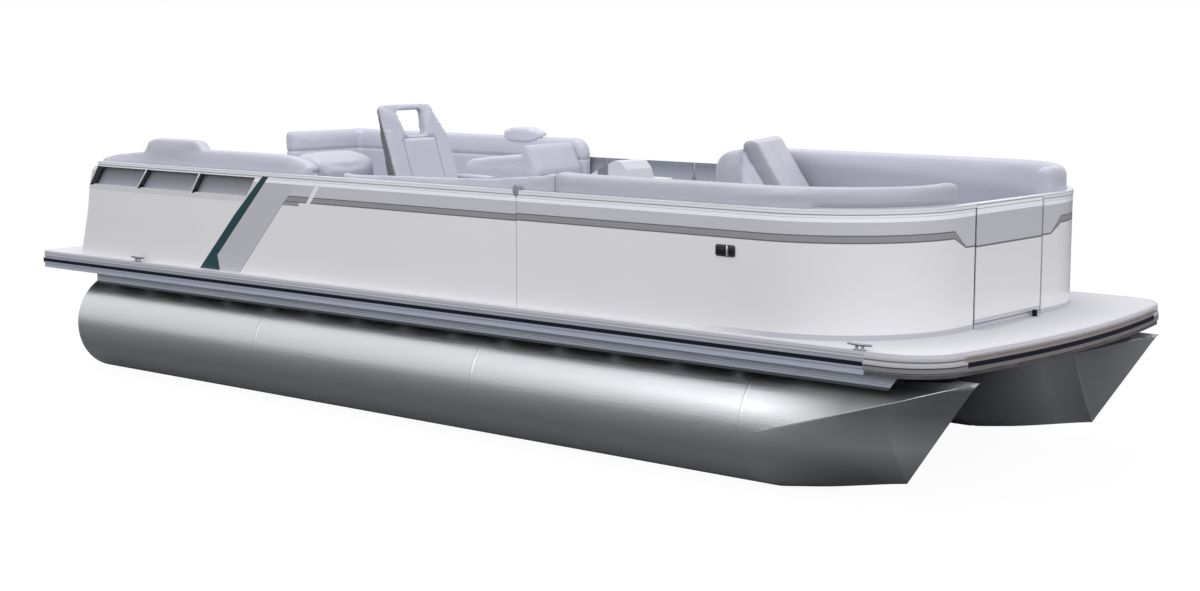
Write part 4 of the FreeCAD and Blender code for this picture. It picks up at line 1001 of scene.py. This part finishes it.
class BOAT_OT_cleats(bpy.types.Operator):
    """Horn cleats along the deck edge"""
    bl_idname = "boat.cleats"
    bl_label = "Cleats"

    def execute(self, context):
        low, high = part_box("cleats")
        made = Shape()
        row = high.y - 0.012
        for x, y in ((low.x + 0.07, -row), (low.x + 0.07, row), (high.x - 0.07, -row),
                     (high.x - 0.445, row)):
            made.prism(rounded(x - 0.034, y - 0.011, x + 0.034, y + 0.011, 0.009), low.z,
                       low.z + 0.0035, "XY")
            for leg in (-0.017, 0.017):
                made.turned((x + leg, y, low.z + 0.002), (0, 0, 1),
                            [(0, 0.0105), (0.004, 0.0082), (0.014, 0.0068), (0.024, 0.0078)], 20)
            points = []
            radii = []
            for share in (-1, -0.97, -0.9, -0.7, -0.45, -0.2, 0, 0.2, 0.45, 0.7, 0.9, 0.97, 1):
                rise = abs(share)
                points.append((x + 0.0695 * share, y, low.z + 0.0255 + 0.003 * rise * rise))
                radii.append(0.0078 - 0.0026 * rise if rise < 0.95 else 0.0042 - 0.028 * (
                    rise - 0.97) * 4)
            made.bar(points, [max(r, 0.0012) for r in radii], 16)
        made.done("horn_cleats", "hull", "cleat_metal", 0, ("cleats",))
        return {"FINISHED"}


class BOAT_OT_helm(bpy.types.Operator):
    """Instruments, switches, cup holders and the throttle grip"""
    bl_idname = "boat.helm"
    bl_label = "Helm fittings"

    def execute(self, context):
        low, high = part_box("helm_console")
        top = DECK_TOP + 0.665
        length = high.x - low.x
        foot = Vector((low.x, 0, DECK_TOP + 0.44))
        head = Vector((low.x + 0.12 * length, 0, top))
        up = (head - foot).normalized()
        out = Vector((-up.z, 0, up.x))

        def on_dash(y, rise, lift=0.0):
            return foot + up * rise + out * lift + Vector((0, y, 0))

        plate = Shape()
        near, far, port_end, starboard_end = 0.105, 0.222, high.y - 0.04, low.y + 0.05
        ring = [on_dash(starboard_end, near), on_dash(port_end, near),
                on_dash(port_end, far), on_dash(starboard_end, far)]
        plate.skin([[p - out * 0.002 for p in ring], [p + out * 0.004 for p in ring]])
        plate.done("dash_plate", "hull", "black_plastic", 0.0025)
        bezels = Shape()
        glass = Shape()
        for y, rise, radius in ((low.y + 0.13, 0.165, 0.040), (low.y + 0.235, 0.165, 0.040),
                                (high.y - 0.10, 0.178, 0.026), (high.y - 0.165, 0.178, 0.026)):
            bezels.turned(on_dash(y, rise, 0.003), out, [
                (0, radius), (0.006, radius), (0.009, radius * 0.95), (0.010, radius * 0.88),
                (0.006, radius * 0.84)])
            glass.turned(on_dash(y, rise, 0.003), out, [
                (0, radius * 0.86), (0.005, radius * 0.86), (0.0065, radius * 0.5)])
        bezels.done("gauge_bezels", "hull", "polished")
        glass.done("gauge_faces", "hull", "dark_lens")
        rockers = Shape()
        for i in range(6):
            y = low.y + 0.34 + 0.032 * i
            ring = [on_dash(y + a, 0.125 + b) for a, b in (
                (-0.011, -0.012), (0.011, -0.012), (0.011, 0.014), (-0.011, 0.014))]
            rockers.skin([[p + out * 0.002 for p in ring],
                          [p + out * (0.007 if k < 2 else 0.010) for k, p in enumerate(ring)]])
        rockers.done("dash_rockers", "hull", "grey_fitting", 0.002)
        cups = Shape()
        wells = Shape()
        for x, y in ((low.x + 0.30, low.y + 0.12), (low.x + 0.42, low.y + 0.12)):
            cups.turned((x, y, top - 0.001), (0, 0, 1), [
                (0, 0.046), (0.004, 0.046), (0.006, 0.043), (0.005, 0.038), (0.001, 0.037)])
            wells.turned((x, y, top - 0.001), (0, 0, 1), [
                (0, 0.0385), (0.002, 0.0385), (0.0015, 0.02)])
        cups.done("cup_rims", "hull", "polished")
        wells.done("cup_wells", "hull", "black_plastic")
        screen = Shape()
        rear = Vector((low.x + 0.40 * length, 0, top))
        brow = Vector((low.x + 0.59 * length, 0, DECK_TOP + 0.722))
        slope = (brow - rear).normalized()
        face = Vector((-slope.z, 0, slope.x))
        span = (brow - rear).length
        y0 = low.y + 0.5 * (high.y - low.y) + 0.012
        y1 = high.y - 0.2 * (high.y - low.y) - 0.012
        ring = [rear + slope * span * 0.12 + Vector((0, y0, 0)),
                rear + slope * span * 0.12 + Vector((0, y1, 0)),
                rear + slope * span * 0.94 + Vector((0, y1, 0)),
                rear + slope * span * 0.94 + Vector((0, y0, 0))]
        screen.skin([[p - face * 0.002 for p in ring], [p + face * 0.003 for p in ring]])
        screen.done("cowl_screen", "hull", "dark_lens", 0.002)
        low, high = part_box("throttle")
        middle = (low.y + high.y) / 2
        grip = Shape()
        grip.turned((low.x + 0.014, middle - 0.028, high.z - 0.0165), (0, 1, 0), [
            (0, 0.008), (0.004, 0.0125), (0.012, 0.0145), (0.028, 0.0150), (0.044, 0.0145),
            (0.052, 0.0125), (0.056, 0.008)])
        grip.done("throttle_grip", "hull", "black_plastic")
        pivot = Shape()
        pivot.turned((low.x + 0.073, low.y - 0.003, DECK_TOP + 0.40), (0, 1, 0), [
            (0, 0.020), (0.006, 0.026), (0.070, 0.026), (0.076, 0.020)])
        pivot.done("throttle_pivot", "hull", "polished", 0.001)
        return {"FINISHED"}


# ------------------------------------------------------------------ upholstery

CHAIR = (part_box("chair_pedestal")[0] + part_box("chair_pedestal")[1]) / 2
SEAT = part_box("chair_seat")[0].z
CHAIR_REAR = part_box("chair_back")[1].x + 0.042

DOMED = 6  # rounding passes of the head pillow, which also gets a domed outline

CUSHIONS = (
    # node, body, voxel, most swell, rounding, shade (painted light: each cushion's vinyl made
    # lighter or darker), seams (axis, place, within, low, high)
    ("starboard_bow_back", "hull", 0.016, 0.010, 4, 0.90, (
        ("z", 1.43, "y", -1.13, -0.40),)),
    ("port_bow_back", "hull", 0.018, 0.010, 7, 1.08, ()),
    ("starboard_bow_seat", "chaise_lid", 0.020, 0.012, 3, 1.0, (
        ("x", 1.90, "z", 1.15, 1.4), ("x", 2.43, "z", 1.15, 1.4))),
    ("port_bow_seat", "port_bow_lid", 0.020, 0.012, 3, 1.0, (
        ("x", 1.885, "z", 1.15, 1.4),)),
    ("port_bow_corner_seat", "hull", 0.020, 0.012, 3, 1.0, (
        ("y", 0.80, "z", 1.15, 1.4),)),
    ("chaise_back", "hull", 0.014, 0.006, 9, 1.10, (
        ("w", 0.22, "z", 1.1, 1.7),)),
    ("chaise_shell", "hull", 0.016, 0.010, 26, 1.14, ()),
    ("starboard_aft_seat", "starboard_aft_lid", 0.020, 0.012, 3, 1.0, (
        ("x", -2.1, "z", 1.15, 1.4),)),
    ("starboard_aft_arm", "hull", 0.014, 0.010, 10, 1.02, ()),
    ("starboard_aft_back", "hull", 0.016, 0.012, 8, 1.04, (
        ("z", 1.43, "y", -1.13, -0.5),)),
    ("port_aft_seat", "port_aft_lid", 0.020, 0.012, 3, 1.0, (
        ("x", -1.89, "z", 1.15, 1.4),)),
    ("port_aft_corner_seat", "hull", 0.020, 0.012, 3, 1.0, ()),
    ("port_aft_arm", "hull", 0.016, 0.004, 9, 1.06, ()),
    ("port_aft_back", "hull", 0.018, 0.010, 7, 1.10, (
        ("z", 1.41, "y", 0.4, 1.14),)),
    ("port_headrest", "hull", 0.008, 0.002, DOMED, 1.2, ()),
    ("starboard_side_pad", "hull", 0.016, 0.010, 3, 0.98, ()),
    ("starboard_bow_rest", "hull", 0.014, 0.010, 4, 1.0, ()),
    ("chair_seat", "captains_chair", 0.012, 0.012, 5, 1.0, (
        ("y", CHAIR.y - 0.17, "z", 1.1, 1.4), ("y", CHAIR.y + 0.17, "z", 1.1, 1.4))),
    ("chair_back", "captains_chair", 0.012, 0.010, 4, 1.03, (
        ("y", CHAIR.y - 0.125, "z", SEAT, SEAT + 0.462),
        ("y", CHAIR.y + 0.150, "z", SEAT, SEAT + 0.462),
        ("z", SEAT + 0.468, "y", CHAIR.y - 0.120, CHAIR.y + 0.145))),
    ("chair_arms", "captains_chair", 0.010, 0.006, 4, 1.0, ()),
)


def select_only(obj):
    for other in bpy.context.selected_objects:
        other.select_set(False)
    obj.select_set(True)
    bpy.context.view_layer.objects.active = obj


def settle(obj, modifier):
    select_only(obj)
    bpy.ops.object.modifier_apply(modifier=modifier.name)


def smooth(obj):
    obj.data.polygons.foreach_set("use_smooth", [True] * len(obj.data.polygons))
    obj.data.update()


def places(obj):
    co = np.empty(len(obj.data.vertices) * 3)
    obj.data.vertices.foreach_get("co", co)
    return co.reshape(-1, 3)


def put_places(obj, co):
    obj.data.vertices.foreach_set("co", co.ravel())
    obj.data.update()


def copy_of(node, name):
    obj = bpy.data.objects.new(name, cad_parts[node].data.copy())
    bpy.context.scene.collection.objects.link(obj)
    obj.data.materials.clear()
    return obj


def stuff(obj, voxel, swell, rounding):
    """Remesh, round off, blow up under pressure, then hold each point near where it was."""
    remesh = obj.modifiers.new("skin", "REMESH")
    remesh.mode = "VOXEL"
    remesh.voxel_size = voxel
    settle(obj, remesh)
    full = places(obj)
    soften = obj.modifiers.new("soften", "SMOOTH")
    soften.factor = 0.5
    soften.iterations = rounding
    settle(obj, soften)
    start = places(obj)
    share = (full.max(0) - full.min(0)) / (start.max(0) - start.min(0))
    start = full.min(0) + (start - start.min(0)) * share
    if rounding == DOMED:
        base, size = start.min(0), start.max(0) - start.min(0)
        along = (start[:, 0] - base[0]) / size[0] * 2 - 1
        rise = (start[:, 2] - base[2]) / size[2] - 0.45
        rise = np.where(rise > 0, rise / 0.55, rise / 0.45)
        widest = np.maximum(np.abs(along), np.abs(rise))
        ring = (np.abs(along) ** 2.4 + np.abs(rise) ** 2.4) ** (1 / 2.4)
        pull = widest / np.maximum(ring, 1e-6)
        rise = rise * pull
        along = along * pull
        across = (start[:, 1] - base[1]) / size[1] * 2 - 1
        widest = np.maximum(np.abs(along), np.abs(across))
        ring = (np.abs(along) ** 2.6 + np.abs(across) ** 2.6) ** (1 / 2.6)
        pull = widest / np.maximum(ring, 1e-6)
        start[:, 0] = base[0] + (along * pull + 1) * size[0] * 0.48
        start[:, 1] = base[1] + (across * pull + 1) * size[1] / 2
        start[:, 2] = base[2] + (np.where(rise > 0, rise * 0.55, rise * 0.45) + 0.45) * size[2]
    middle = (start.max(0) + start.min(0)) / 2
    half = np.maximum((start.max(0) - start.min(0)) / 2, 0.01)
    shrunk = middle + (start - middle) * (1 - 0.004 / half)
    put_places(obj, shrunk)
    cloth = obj.modifiers.new("cloth", "CLOTH")
    cloth.settings.use_pressure = True
    cloth.settings.uniform_pressure_force = 4.0
    cloth.settings.effector_weights.gravity = 0.0
    cloth.settings.quality = 3
    cloth.collision_settings.use_collision = False
    cloth.point_cache.frame_start = 1
    cloth.point_cache.frame_end = 12
    scene = bpy.context.scene
    for number in range(1, 13):
        scene.frame_set(number)
    settle(obj, cloth)
    scene.frame_set(1)
    moved = places(obj) - shrunk
    far = np.linalg.norm(moved, axis=1, keepdims=True)
    put_places(obj, shrunk + moved * np.minimum(1.0, swell / np.maximum(far, 1e-9)))
    puffed = places(obj)
    share = (shrunk.max(0) - shrunk.min(0)) / (puffed.max(0) - puffed.min(0))
    put_places(obj, shrunk.min(0) + (puffed - puffed.min(0)) * share)
    finer = obj.modifiers.new("finer", "SUBSURF")
    finer.levels = 1
    settle(obj, finer)
    smooth(obj)


def sew(obj, seams):
    """Pull the skin in along its seams."""
    co = places(obj)
    axes = seam_axes(*co.T)
    depth = np.zeros(len(co))
    for way, place, across, low, high in seams:
        near = np.exp(-((axes[way] - place) / 0.011) ** 2)
        within = np.clip((axes[across] - low) / 0.02 + 0.5, 0, 1) * np.clip(
            (high - axes[across]) / 0.02 + 0.5, 0, 1)
        depth = np.maximum(depth, near * within)
    normals = np.empty(len(co) * 3)
    obj.data.vertices.foreach_get("normal", normals)
    put_places(obj, co - normals.reshape(-1, 3) * depth[:, None] * 0.007)


def rest_flat(obj, low, high):
    """Keep a cushion flat where it lies on its base or against the fence."""
    co = places(obj)
    co[:, 2] = np.maximum(co[:, 2], low.z)
    side = min(max(-low.y, high.y), LINER - 0.0028)
    co[:, 1] = np.clip(co[:, 1], -side, side)
    if obj.name.startswith("starboard_side_pad"):
        co[:, 0] += np.clip((co[:, 0] - high.x + 0.03) / 0.03, 0, 1) * 0.010
    elif obj.name.startswith("starboard_bow_back"):
        end = np.clip((co[:, 1] - high.y + 0.25) / 0.25, 0, 1)
        co[:, 0] += end * 0.006 - np.clip((low.x + 0.03 - co[:, 0]) / 0.03, 0, 1) * 0.014
        co[:, 1] += end * 0.045
    put_places(obj, co)


class BOAT_OT_upholster(bpy.types.Operator):
    """Replace each soft node with a stuffed vinyl cushion"""
    bl_idname = "boat.upholster"
    bl_label = "Upholster seats"

    def execute(self, context):
        for node, body, voxel, swell, rounding, shade, seams in CUSHIONS:
            if node == "chair_back":
                obj = self.chair_back(node + "_vinyl")
            else:
                obj = copy_of(node, node + "_vinyl")
            low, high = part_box(node)
            stuff(obj, voxel, swell, rounding)
            sew(obj, seams)
            rest_flat(obj, low, high)
            base = colours().vinyl
            # painted shade over one side: the starboard side of the chair back, one side face of
            # the chaise back, the aft inboard part of the chaise shell and the lower part of the
            # port bow back
            dark = {
                "chair_back": ("y", low.y + 0.016, 0.008, colours().vinyl_side_shade),
                "chaise_back": ("w", -0.012, 0.012, tint(base, 0.66)),
                "chaise_shell": ("u", 1.206, 0.02, tint(base, 0.84)),
                "port_bow_back": ("v", 1.555, 0.06, tint(base, 0.86)),
            }.get(node)
            obj.data.materials.append(vinyl_cover(
                node + "_cover", tint(colours().vinyl, shade), seams, dark).material)
            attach(obj, body)
            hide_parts(node)
        return {"FINISHED"}

    def chair_back(self, name):
        """Tall back with one cut corner and a grip hole under its top."""
        low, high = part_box("chair_back")

        def solid(label, draw):
            made = Shape()
            draw(made)
            bmesh.ops.recalc_face_normals(made.mesh, faces=made.mesh.faces)
            mesh = bpy.data.meshes.new(label)
            made.mesh.to_mesh(mesh)
            made.mesh.free()
            obj = bpy.data.objects.new(label, mesh)
            bpy.context.scene.collection.objects.link(obj)
            return obj

        foot = high.x + 0.100
        half = (high.y - low.y) / 2
        side = [(foot + a, SEAT + b) for a, b in (
            (-0.165, 0), (-0.100, 0), (-0.100, 0.118), (-0.243, 0.500), (-0.292, 0.640),
            (-0.306, 0.668), (-0.326, 0.678), (-0.348, 0.662), (-0.350, 0.630),
            (-0.312, 0.480), (-0.185, 0.118))]
        back = solid(name, lambda made: made.prism(side, low.y, high.y))
        grip = [(CHAIR.y + a, SEAT + b) for a, b in (
            (-0.080, 0.488), (0.085, 0.488), (0.105, 0.640), (-0.126, 0.640))]
        port = [(CHAIR.y + half * a, SEAT + b) for a, b in (
            (1.2, 0.47), (1.0, 0.47), (0.70, 0.630), (0.60, 0.700), (1.2, 0.700))]
        star = [(CHAIR.y - half * a, SEAT + b) for a, b in (
            (1.2, 0.05), (1.0, 0.05), (0.86, 0.64), (0.80, 0.700), (1.2, 0.700))]
        for label, outline in (("grip", grip), ("port_corner", port), ("star_corner", star)):
            tool = solid(label, lambda made: made.prism(outline, low.x - 0.1, high.x + 0.1, "YZ"))
            cut = back.modifiers.new(label, "BOOLEAN")
            cut.operation = "DIFFERENCE"
            cut.object = tool
            settle(back, cut)
            bpy.data.objects.remove(tool)
        return back


# ------------------------------------------------------------------ stage


def stage_floor(name):
    """Pale floor to the eye; a mid grey to light and gloss, so that undersides stay dark."""
    material = bpy.data.materials.new(name)
    material.use_nodes = True
    tree = material.node_tree
    diffuse = tree.nodes["Principled BSDF"]
    diffuse.inputs["Base Color"].default_value = (0.16, 0.16, 0.165, 1)
    diffuse.inputs["Roughness"].default_value = 1.0
    glow = tree.nodes.new("ShaderNodeEmission")
    glow.inputs["Strength"].default_value = 1.36
    path = tree.nodes.new("ShaderNodeLightPath")
    both = tree.nodes.new("ShaderNodeMixShader")
    share = tree.nodes.new("ShaderNodeMath")
    share.operation = "MULTIPLY"
    share.inputs[1].default_value = 0.7
    tree.links.new(share.inputs[0], path.outputs["Is Camera Ray"])
    tree.links.new(both.inputs[0], share.outputs[0])
    tree.links.new(both.inputs[1], diffuse.outputs[0])
    tree.links.new(both.inputs[2], glow.outputs[0])
    tree.links.new(tree.nodes["Material Output"].inputs[0], both.outputs[0])
    return material


def lamp(name, size, energy, place, target):
    data = bpy.data.lights.new(name, "AREA")
    data.shape = "RECTANGLE"
    data.size, data.size_y = size
    data.energy = energy
    obj = bpy.data.objects.new(name, data)
    bpy.context.scene.collection.objects.link(obj)
    obj.location = place
    obj.rotation_euler = (Vector(target) - Vector(place)).to_track_quat("-Z", "Y").to_euler()


class BOAT_OT_stage(bpy.types.Operator):
    """Build the pale floor, the soft light and the camera"""
    bl_idname = "boat.stage"
    bl_label = "Stage"

    def execute(self, context):
        sizes = context.scene.boat_stage
        scene = context.scene
        half = sizes.floor
        mesh = bpy.data.meshes.new("floor")
        mesh.from_pydata([(-half, -half, 0), (half, -half, 0), (half, half, 0),
                          (-half, half, 0)], [], [(0, 1, 2, 3)])
        floor = bpy.data.objects.new("floor", mesh)
        scene.collection.objects.link(floor)
        mesh.materials.append(stage_floor("pale_floor"))
        world = bpy.data.worlds.new("studio")
        scene.world = world
        world.use_nodes = True
        tree = world.node_tree
        soft = tree.nodes["Background"]
        soft.inputs["Color"].default_value = (0.90, 0.91, 0.94, 1)
        soft.inputs["Strength"].default_value = 0.57
        white = tree.nodes.new("ShaderNodeBackground")
        white.inputs["Color"].default_value = (1, 1, 1, 1)
        path = tree.nodes.new("ShaderNodeLightPath")
        seen = None
        for ray in ("Is Camera Ray", "Is Glossy Ray", "Is Transmission Ray"):
            either = tree.nodes.new("ShaderNodeMath")
            either.operation = "MAXIMUM"
            tree.links.new(either.inputs[0], path.outputs[ray])
            if seen is not None:
                tree.links.new(either.inputs[1], seen.outputs[0])
            seen = either
        both = tree.nodes.new("ShaderNodeMixShader")
        tree.links.new(both.inputs[0], seen.outputs[0])
        tree.links.new(both.inputs[1], soft.outputs[0])
        tree.links.new(both.inputs[2], white.outputs[0])
        tree.links.new(tree.nodes["World Output"].inputs[0], both.outputs[0])
        lamp("key", (13, 5), 560, (1.0, -11.0, 7.0), (-0.6, 0, 0.8))
        lamp("top", (10, 5), 470, (-1.2, 0.5, 9.0), (0, 0, 0.8))
        lamp("bow", (5, 4), 330, (12.0, -1.0, 5.0), (1.0, 0, 0.8))
        scene.view_settings.view_transform = "Standard"
        data = bpy.data.cameras.new("camera")
        data.sensor_width = 36.0
        data.lens = sizes.lens
        data.clip_end = 300
        camera = bpy.data.objects.new("camera", data)
        scene.collection.objects.link(camera)
        camera.location = sizes.eye
        camera.rotation_euler = Euler((math.pi / 2 - sizes.dip, 0, sizes.heading), "XYZ")
        scene.camera = camera
        return {"FINISHED"}


class BOAT_PT_panel(bpy.types.Panel):
    """Buttons for each group of pieces"""
    bl_label = "Pontoon Boat"
    bl_idname = "BOAT_PT_panel"
    bl_space_type = "VIEW_3D"
    bl_region_type = "UI"
    bl_category = "Pontoon Boat"

    def draw(self, context):
        for cls in OPERATORS:
            self.layout.operator(cls.bl_idname)
        for group in (context.scene.boat_stage, context.scene.boat_colours):
            for name in group.__annotations__:
                self.layout.prop(group, name)


OPERATORS = (BOAT_OT_stage, BOAT_OT_finish_frame, BOAT_OT_upholster, BOAT_OT_tube_creases,
             BOAT_OT_fence_trim, BOAT_OT_cleats, BOAT_OT_helm)
CLASSES = (StageSizes, Colours, BOAT_PT_panel) + OPERATORS


def register():
    for cls in CLASSES:
        bpy.utils.register_class(cls)
    bpy.types.Scene.boat_stage = bpy.props.PointerProperty(type=StageSizes)
    bpy.types.Scene.boat_colours = bpy.props.PointerProperty(type=Colours)


def unregister():
    del bpy.types.Scene.boat_stage
    del bpy.types.Scene.boat_colours
    for cls in reversed(CLASSES):
        bpy.utils.unregister_class(cls)


def main():
    register()
    for cls in OPERATORS:
        group, name = cls.bl_idname.split(".")
        getattr(getattr(bpy.ops, group), name)()


if __name__ == "__main__":
    main()
